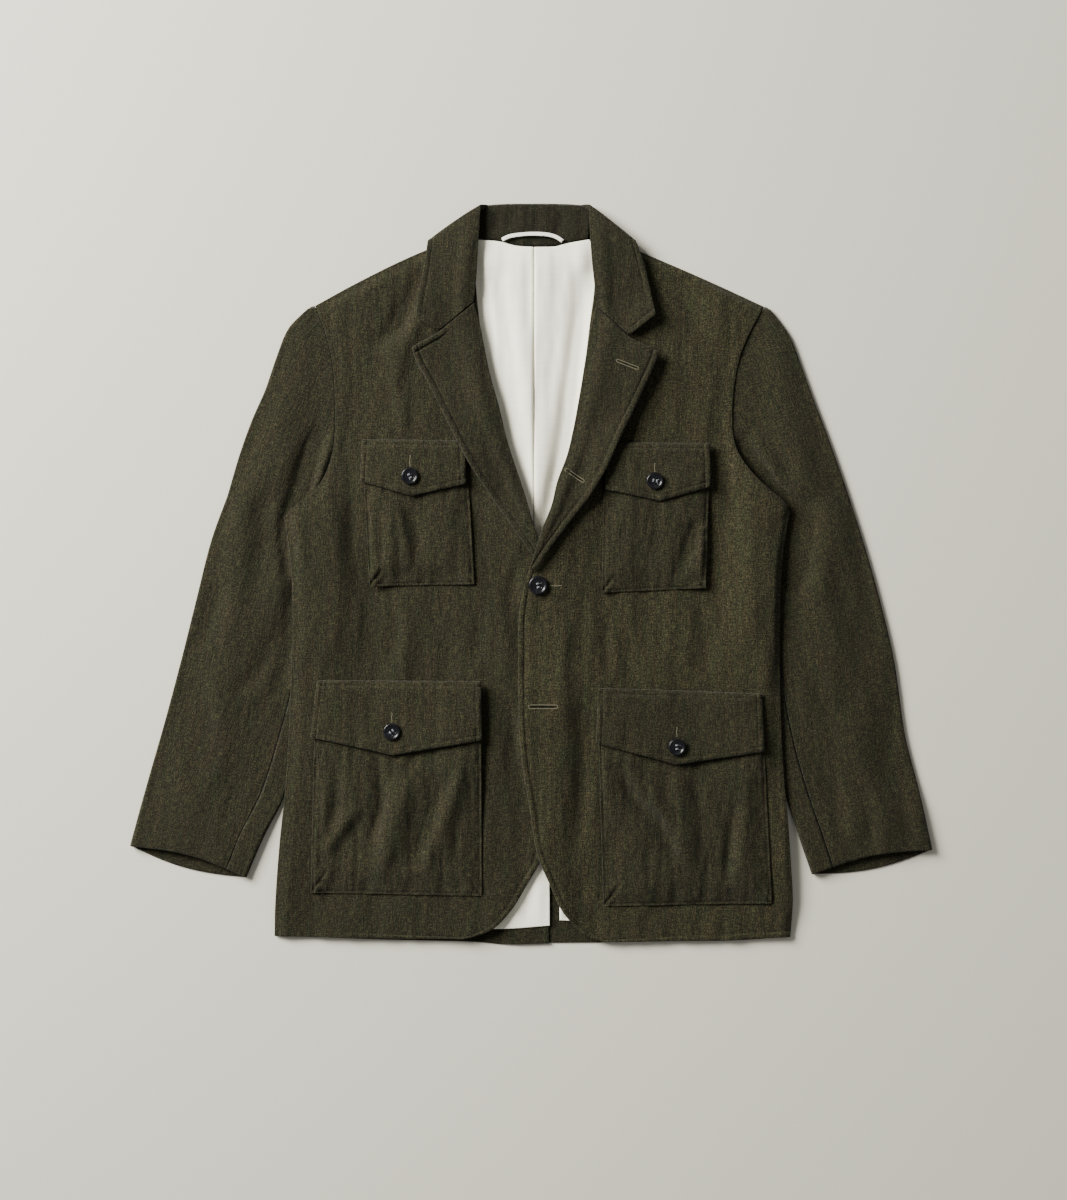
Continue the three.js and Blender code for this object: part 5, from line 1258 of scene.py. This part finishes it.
def free_lift(plan, side):
    """Lapels and leaves rise away from their roll to a free edge."""
    return LAPEL_LIFT[side] * smooth(distance_to(plan[..., 0], plan[..., 1], ROLLS[side]) / LIFT_WIDTH)


lapel_us, lapel_vs = steps(62, 3.2 * COARSE), steps(262, 3.8 * COARSE)
lapel_left = patch(LAPEL_LEFT_EDGE, LAPEL_LEFT_ROLL, LAPEL_LEFT_BREAK,
                   Joined((LAPEL_LEFT_TOP, 0.5), (GORGE_LEFT, 0.5)), lapel_us, lapel_vs)
lapel_right = patch(LAPEL_RIGHT_ROLL, LAPEL_RIGHT_EDGE, LAPEL_RIGHT_BREAK,
                    Joined((GORGE_RIGHT, 0.5), (LAPEL_RIGHT_TOP, 0.5)), lapel_us, lapel_vs)
lapels = {}
for n, (side, plan, share, base) in enumerate((("left", lapel_left, 1 - lapel_us, on_flaps),
                                               ("right", lapel_right, lapel_us, None))):
    x, y = plan[..., 0], plan[..., 1]
    grow = smooth(lapel_vs * 3)[:, None]
    fine = along_edges(plan, {side: (0, 1), "top": (0.5 * n, 0.5 + 0.5 * n)}, 100 + n, ridge=0.85, groove=1.2)
    waves = creases(x, y, LAPEL_CREASES[side]) + 0.2 * ripple(x, y, 104 + 3 * n, 0.6)
    free = np.minimum.reduce(edge_distances(plan))
    lapels[side] = layer("lapel_cloth_" + side, plan, ground() if base is None else base, DOUBLE, collar_cloth,
                         loft=(roll_puff(share)[None] * LAPEL_FULLER + free_lift(plan, side)) * grow,
                         relief=fine + waves * smooth(free / 8))
    stamp(lapels[side][1])

leaf_sheets = []
for n, (side, leaf) in enumerate((("left", leaf_left), ("right", leaf_right))):
    x, y = leaf[..., 0], leaf[..., 1]
    lowered = 1 - LIFT_LOST * leaf_vs[:, None]
    calm = 1.4 - 1.2 * smooth((leaf_vs[:, None] - 0.55) / 0.45)
    _, from_edge, from_end, _ = edge_distances(leaf)
    corner = CORNER_LIFT[side] * np.exp(-(np.hypot(from_edge, from_end) / CORNER_WIDTH) ** 2)
    sheet = laid(leaf, on_flaps, roll_puff(leaf_us)[None] * calm + free_lift(leaf, side) * lowered + corner)
    fine = along_edges(leaf, {"right": (0, 1), "bottom": (0.62, 1.0)}, 110 + n, groove=1.1)
    waves = 0.18 * ripple(x, y, 114 + 3 * n, 0.6) * smooth(from_end / 8)
    sheet[..., 2] += CLOTH / 2 + (fine + waves) * 0.8
    leaf_sheets.append(sheet)


def turned_rows(start, end, count=9):
    """Rows of a soft fold between two rows, bulging away from the neck."""
    away = start[:, :2] - np.array(NECK_MIDDLE)
    away /= np.linalg.norm(away, axis=1)[:, None]
    away *= FOLD_OUT * (0.45 + 0.55 * smooth(leaf_us / 0.25))[:, None]
    away = np.column_stack([away, np.zeros(len(start))])
    first, second = start + away, end + away
    return [(1 - t) ** 3 * start + 3 * t * (1 - t) ** 2 * first + 3 * t * t * (1 - t) * second + t ** 3 * end
            for t in np.linspace(0, 1, count + 2)[1:-1]]


collar_rows = np.array([*leaf_sheets[0], *turned_rows(leaf_sheets[0][-1], fall[0]), *fall,
                        *turned_rows(fall[-1], leaf_sheets[1][-1]), *leaf_sheets[1][::-1]])
collar_piece, collar_outer = thickened("collar_cloth", collar_rows, CLOTH / 2, CLOTH / 2, collar_cloth,
                                       collar_rows[..., :2] + 40)

for n, (name, corners) in enumerate(FLAPS.items()):
    button("button_" + name, corners[5], FLAP_BUTTON, BUTTON_THICK, 0.5 + n * 0.9)
button("button_front", FRONT_BUTTON_AT, FRONT_BUTTON, BUTTON_THICK, 0.2)

# Buttonholes: a slit with thread worked round it, or the line of one above the button that fills it
HOLES = {  # piece: from, to, gape
    "flap_chest_left": ((-127.7, 517.3), (-127.8, 504.6), 0),
    "flap_chest_right": ((129.9, 509), (129.9, 499), 0),
    "flap_lower_left": ((-146.8, 245.9), (-146.9, 235.3), 0),
    "flap_lower_right": ((153.2, 231), (153.1, 220.5), 0),
    "front_right_upper": ((18.5, 379.5), (32.3, 379.5), 0),
    "front_right_lower": ((-1.6, 252.3), (26, 252.3), 2.2),
    "lapel_right_upper": ((90.6, 616.4), (111.2, 608.4), 1.3),
    "lapel_right_lower": ((36.6, 501.4), (54.2, 489.7), 1.5),
}


def height_on(sheet, points):
    """Height of a sheet at plan points, from its nearest grid points."""
    flat = sheet.reshape(-1, 3)
    heights = []
    for x, y in points:
        away = np.hypot(flat[:, 0] - x, flat[:, 1] - y)
        near = np.argsort(away)[:4]
        share = 1 / (away[near] + 0.05)
        heights.append(float((flat[near, 2] * share).sum() / share.sum()))
    return np.array(heights)


def buttonhole(name, sheet, start, end, gape):
    """Worked thread round both lips of a slit, joined by a bar at each end, and a near-black sheet between them,
    painted shade in the slit.
    """
    start, end = np.array(start), np.array(end)
    length = np.linalg.norm(end - start)
    way = (end - start) / length
    side = np.array([-way[1], way[0]])
    marks = np.linspace(0, 1, 15)
    middle = start + np.outer(marks * length, way)
    if gape == 0:
        spine = middle + np.outer(0.25 * np.sin(marks * 9), side)
        paths = [np.column_stack([spine, height_on(sheet, spine) + 0.3])]
        return [stitches("buttonhole_" + name, paths, hole_thread, length=1.4, gap=0.05, width=1.25)]
    lip = gape / 2 + 0.75
    round_end = np.linspace(-np.pi / 2, np.pi / 2, 7)
    bar = lip * (np.outer(np.cos(round_end), way) + np.outer(np.sin(round_end), side))
    ring = np.vstack([middle - side * lip, end + bar, middle[::-1] + side * lip, start - bar])
    ring = ring[np.concatenate([[True], np.linalg.norm(np.diff(ring, axis=0), axis=1) > 0.05])]
    ring = np.column_stack([ring, height_on(sheet, ring) + 0.1])
    worked = stitches("buttonhole_" + name, [ring], hole_thread, length=1.1, gap=0.05, width=1.15)
    narrowing = np.sin(np.pi * np.clip(marks * 1.02, 0.04, 0.96)) ** 0.35
    open_by = (gape / 2 * (1 + 0.35 * np.sin(marks * 17)) * narrowing)[:, None]
    z = height_on(sheet, middle)[:, None] + 0.14
    vertices = np.vstack([np.hstack([middle + side * open_by * way_, z]) for way_ in (-1, 1)])
    count = len(marks)
    faces = [(k, k + 1, count + k + 1, count + k) for k in range(count - 1)]
    return [worked, new_object("slit_" + name, vertices, faces, slit_shade)]


def sheet_of(name):
    if name.startswith("flap"):
        return flaps[name.removeprefix("flap_")][1]
    return lapels["right"][1] if name.startswith("lapel") else front_right_top


for name, (start, end, gape) in HOLES.items():
    for made in buttonhole(name, sheet_of(name), start, end, gape):
        sewn(made)

# Topstitching: for each piece its sheet's edge, the inset and the shares it runs between
leaf_rows = len(leaf_vs)
left_leaf, right_leaf = collar_outer[:leaf_rows], collar_outer[-leaf_rows:]
STITCH_PATHS = {
    "front_left": [(front_left_top, "right", 6.5, 0.0, 0.66), (front_left_top, "bottom", 6.5, 0.3, 1.0)],
    "front_right": [(front_right_top, "left", 6.5, 0.0, 0.6), (front_right_top, "bottom", 6.5, 0.0, 0.75)],
    "lapel_left": [(lapels["left"][1], "left", 6.2), (lapels["left"][1], "top", 6.2, 0.08, 0.5)],
    "lapel_right": [(lapels["right"][1], "right", 6.2), (lapels["right"][1], "top", 6.2, 0.5, 0.92)],
    **{"pocket_" + name: [(top, edge, 2.2) for edge in OPEN_TOP] for name, (_, top) in bags.items()},
    **{"flap_" + name: [(top, edge, 6.0, 0.06, 0.94) for edge in ALL_ROUND] for name, (_, top) in flaps.items()},
    "collar": [(left_leaf, "right", 6.2), (right_leaf, "right", 6.2), (left_leaf, "bottom", 6.2, 0.66, 0.95)],
}
top_stitches = {name: sewn(stitches("stitches_" + name, [path_on(*path) for path in paths], thread))
                for name, paths in STITCH_PATHS.items()}

# Sheets that stand for the CAD parts, which are hidden
declare(back_left_piece, "back_left")
declare(back_right_piece, "back_right")
declare(lining_left_piece, "lining_left")
declare(lining_right_piece, "lining_right")
declare(front_left_piece, "front_left")
declare(front_right_piece, "front_right")
declare(stand_piece, "collar_stand")
declare(tape_piece, "hanger_loop")
declare(collar_piece, "collar")
for side, plan in (("left", lapel_left), ("right", lapel_right)):
    declare(lapels[side][0], "lapel_" + side)
for name, (piece, _) in bags.items():
    declare(piece, "pocket_" + name)
for name, (piece, top) in flaps.items():
    declare(piece, "flap_" + name)
for side, (top_piece, under_piece) in sleeves.items():
    declare(top_piece, "sleeve_top_" + side)
    declare(under_piece, "sleeve_under_" + side)

# Floor, camera and light
bpy.ops.mesh.primitive_plane_add(size=6, location=(0, 0, -0.0004))
floor = bpy.context.object
floor.name = "floor"
floor.data.materials.append(plain("floor_pale", (0.61, 0.59, 0.505), 0.9, 0.1))

scene = bpy.context.scene
data = bpy.data.cameras.new("camera")
data.lens = 73.6
data.sensor_width = 36
camera = bpy.data.objects.new("camera", data)
camera.location = (0.0024, -0.0274, 2.6)
scene.collection.objects.link(camera)
scene.camera = camera


def area_light(name, place, size, power, colour=(1, 1, 1)):
    light = bpy.data.lights.new(name, "AREA")
    light.shape, light.size, light.size_y = "RECTANGLE", size[0], size[1]
    light.energy, light.color = power, colour
    made = bpy.data.objects.new(name, light)
    made.location = place
    made.rotation_euler = Vector([-c for c in place]).to_track_quat("-Z", "Y").to_euler()
    scene.collection.objects.link(made)


area_light("key", (-2.25, 1.45, 1.75), (1.6, 1.6), 380, (1, 0.98, 0.93))
area_light("fill", (1.8, -1.4, 2.6), (2.6, 2.6), 9, (0.99, 0.985, 1))
world = bpy.data.worlds.new("studio")
world.use_nodes = True
world.node_tree.nodes["Background"].inputs[0].default_value = (1, 0.99, 0.97, 1)
world.node_tree.nodes["Background"].inputs[1].default_value = 0.225
scene.world = world
